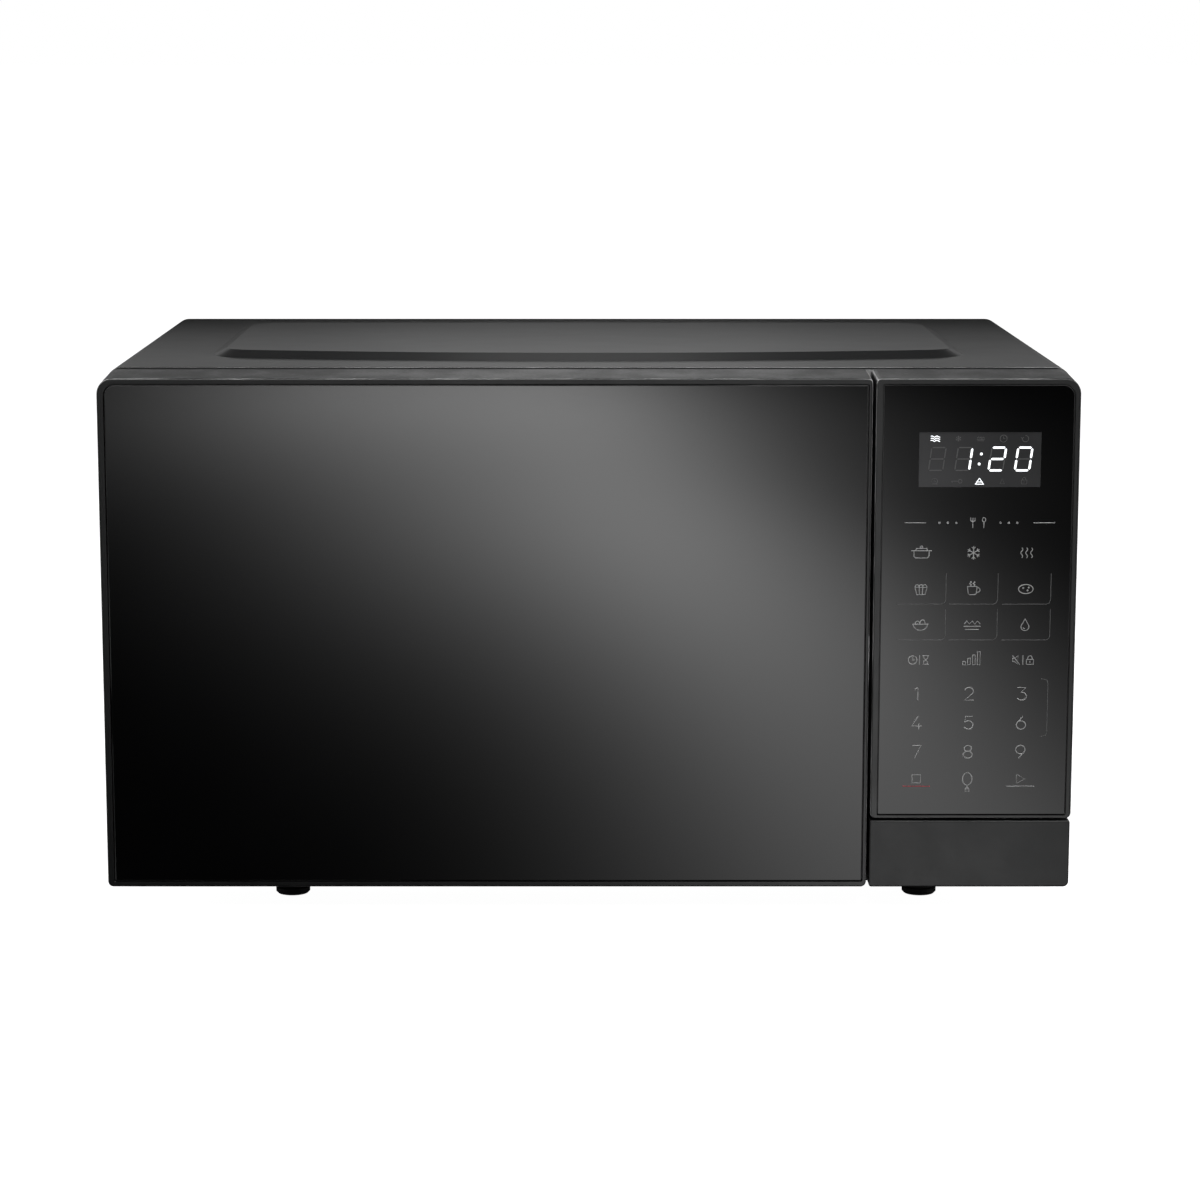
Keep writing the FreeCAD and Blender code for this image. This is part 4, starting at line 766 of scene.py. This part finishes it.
def make_floor():
    """Pale paper floor with a glow of its own, so that it looks as white as the paper behind."""
    look = Look("floor_paper")
    look.colour(look.noise(300, 3), (0.3, grey(0.9)), (0.7, grey(0.93)))
    look.rough(look.noise(90, 3), 0.75, 0.85).relief(look.noise(1.2, 3), 0.02, 0.3)
    look.shader.inputs["Emission Color"].default_value = (1, 1, 1, 1)
    far = look.add("ShaderNodeVectorMath", operation="LENGTH")
    look.join(look.place, far.inputs[0])
    glow = look.span(far.outputs["Value"], 0.98, 0.99, 0.3, 1.6)
    look.join(glow, look.shader.inputs["Emission Strength"])
    corners = [(-30, -30, 0), (30, -30, 0), (30, 60, 0), (-30, 60, 0)]
    floor = stage_plane("floor", corners, look.material)
    floor.visible_glossy = False
    floor.visible_diffuse = False


def make_card():
    """The pools as one glowing sheet that only mirror reflections see."""
    look = Look("light_pools")
    total = None
    for pool in POOLS.values():
        where = look.add("ShaderNodeMapping", vector_type="TEXTURE")
        where.inputs["Location"].default_value = (*pool["centre"], 0)
        where.inputs["Rotation"].default_value = (0, 0, math.radians(pool["turn"]))
        where.inputs["Scale"].default_value = (*pool["reach"], 1)
        look.join(look.place, where.inputs["Vector"])
        length = look.add("ShaderNodeVectorMath", operation="DOT_PRODUCT")
        look.join(where.outputs["Vector"], length.inputs[0])
        look.join(where.outputs["Vector"], length.inputs[1])
        fade = look.maths("EXPONENT", look.maths("MULTIPLY", length.outputs["Value"], -1.0))
        level = look.maths("MULTIPLY", fade, pool["strength"])
        total = look.maths("ADD", total, level) if total else level
    glow = look.add("ShaderNodeEmission")
    look.join(total, glow.inputs["Strength"])
    look.join(glow.outputs["Emission"], look.tree.nodes["Material Output"].inputs["Surface"])
    corners = [(-3, -5, 0), (3, -5, 0), (3, -0.18, 0), (-3, -0.18, 0)]
    card = stage_plane("light_pools", corners, look.material)
    card.location.z = POOL_HEIGHT
    for ray in ("camera", "diffuse", "transmission", "volume_scatter", "shadow"):
        setattr(card, "visible_" + ray, False)


def make_flag():
    """Black strip behind the oven that keeps the back light off the rear of its top."""
    look = Look("flag_cloth", Roughness=0.9)
    look.colour(look.noise(3, 2), (0.3, grey(0.003)), (0.7, grey(0.005)))
    outline = oblong(-FLAG_HALF, FLAG_LOW, FLAG_HALF, FLAG_HIGH)[:-1]
    flag = stage_plane("flag", [(x, FLAG_BACK, z) for x, z in outline], look.material)
    flag.visible_camera = False


def soft_box(name, place, aim, size, power):
    """Rectangular lamp that the camera doesn't see."""
    light = bpy.data.lights.new(name, "AREA")
    light.shape = "RECTANGLE"
    light.size, light.size_y = size
    light.energy = power
    lamp = bpy.data.objects.new(name, light)
    lamp.visible_camera = False
    lamp.location = place
    lamp.rotation_mode = "QUATERNION"
    lamp.rotation_quaternion = (Vector(aim) - Vector(place)).to_track_quat("-Z", "Y")
    scene.collection.objects.link(lamp)


def make_world():
    """White paper all round for the camera, and a low even glow for everything else."""
    world = bpy.data.worlds.new("studio")
    world.use_nodes = True
    scene.world = world
    tree = world.node_tree
    tree.nodes.clear()
    seen = tree.nodes.new("ShaderNodeLightPath").outputs["Is Camera Ray"]
    strength = tree.nodes.new("ShaderNodeMapRange")
    strength.inputs["To Min"].default_value = 0.03
    strength.inputs["To Max"].default_value = 1.0
    paper = tree.nodes.new("ShaderNodeBackground")
    out = tree.nodes.new("ShaderNodeOutputWorld")
    tree.links.new(seen, strength.inputs["Value"])
    tree.links.new(strength.outputs["Result"], paper.inputs["Strength"])
    tree.links.new(paper.outputs["Background"], out.inputs["Surface"])
    paper.inputs["Color"].default_value = (1, 1, 1, 1)


def make_camera():
    data = bpy.data.cameras.new("camera")
    data.sensor_width = CAMERA_SENSOR_MM
    data.lens = CAMERA_LENS_MM
    data.shift_x, data.shift_y = CAMERA_SHIFT
    data.clip_start, data.clip_end = 0.05, 100
    camera = bpy.data.objects.new("camera", data)
    camera.location = CAMERA_PLACE
    camera.rotation_euler = (math.radians(90 - CAMERA_DOWN), 0, 0)
    scene.collection.objects.link(camera)
    scene.camera = camera


make_floor()
make_card()
make_flag()
# Each lamp's place, aim, size and power in watts
soft_box("back_box", (0.0, 0.7, 0.46), (0, -0.1, 0.25), (2.4, 0.2), 0.95)
soft_box("middle_box", (0.0, 0.7, 0.62), (0, -0.1, 0.25), (0.3, 0.2), 0.17)
soft_box("crown_box", (0.0, 0.2, 0.8), (0, -0.1, 0.25), (0.2, 0.2), 0.16)
soft_box("edge_box", (0.0, -0.3, 0.9), (0, -0.16, 0.25), (1.4, 0.1), 4.0)
soft_box("left_box", (-2.5, -0.2, 0.8), (0, 0, 0.2), (2.5, 1.6), 10)
soft_box("right_box", (2.5, -0.2, 0.8), (0, 0, 0.2), (2.5, 1.6), 14)
soft_box("rear_left_box", (-2.2, 1.8, 0.7), (0, 0.1, 0.1), (1.2, 1.2), 16)
soft_box("rear_right_box", (2.2, 1.8, 0.7), (0, 0.1, 0.1), (1.2, 1.2), 16)
soft_box("front_box", (0.0, -2.0, 1.7), (0, -0.16, 0.12), (1.5, 0.8), 20)
make_world()
make_camera()
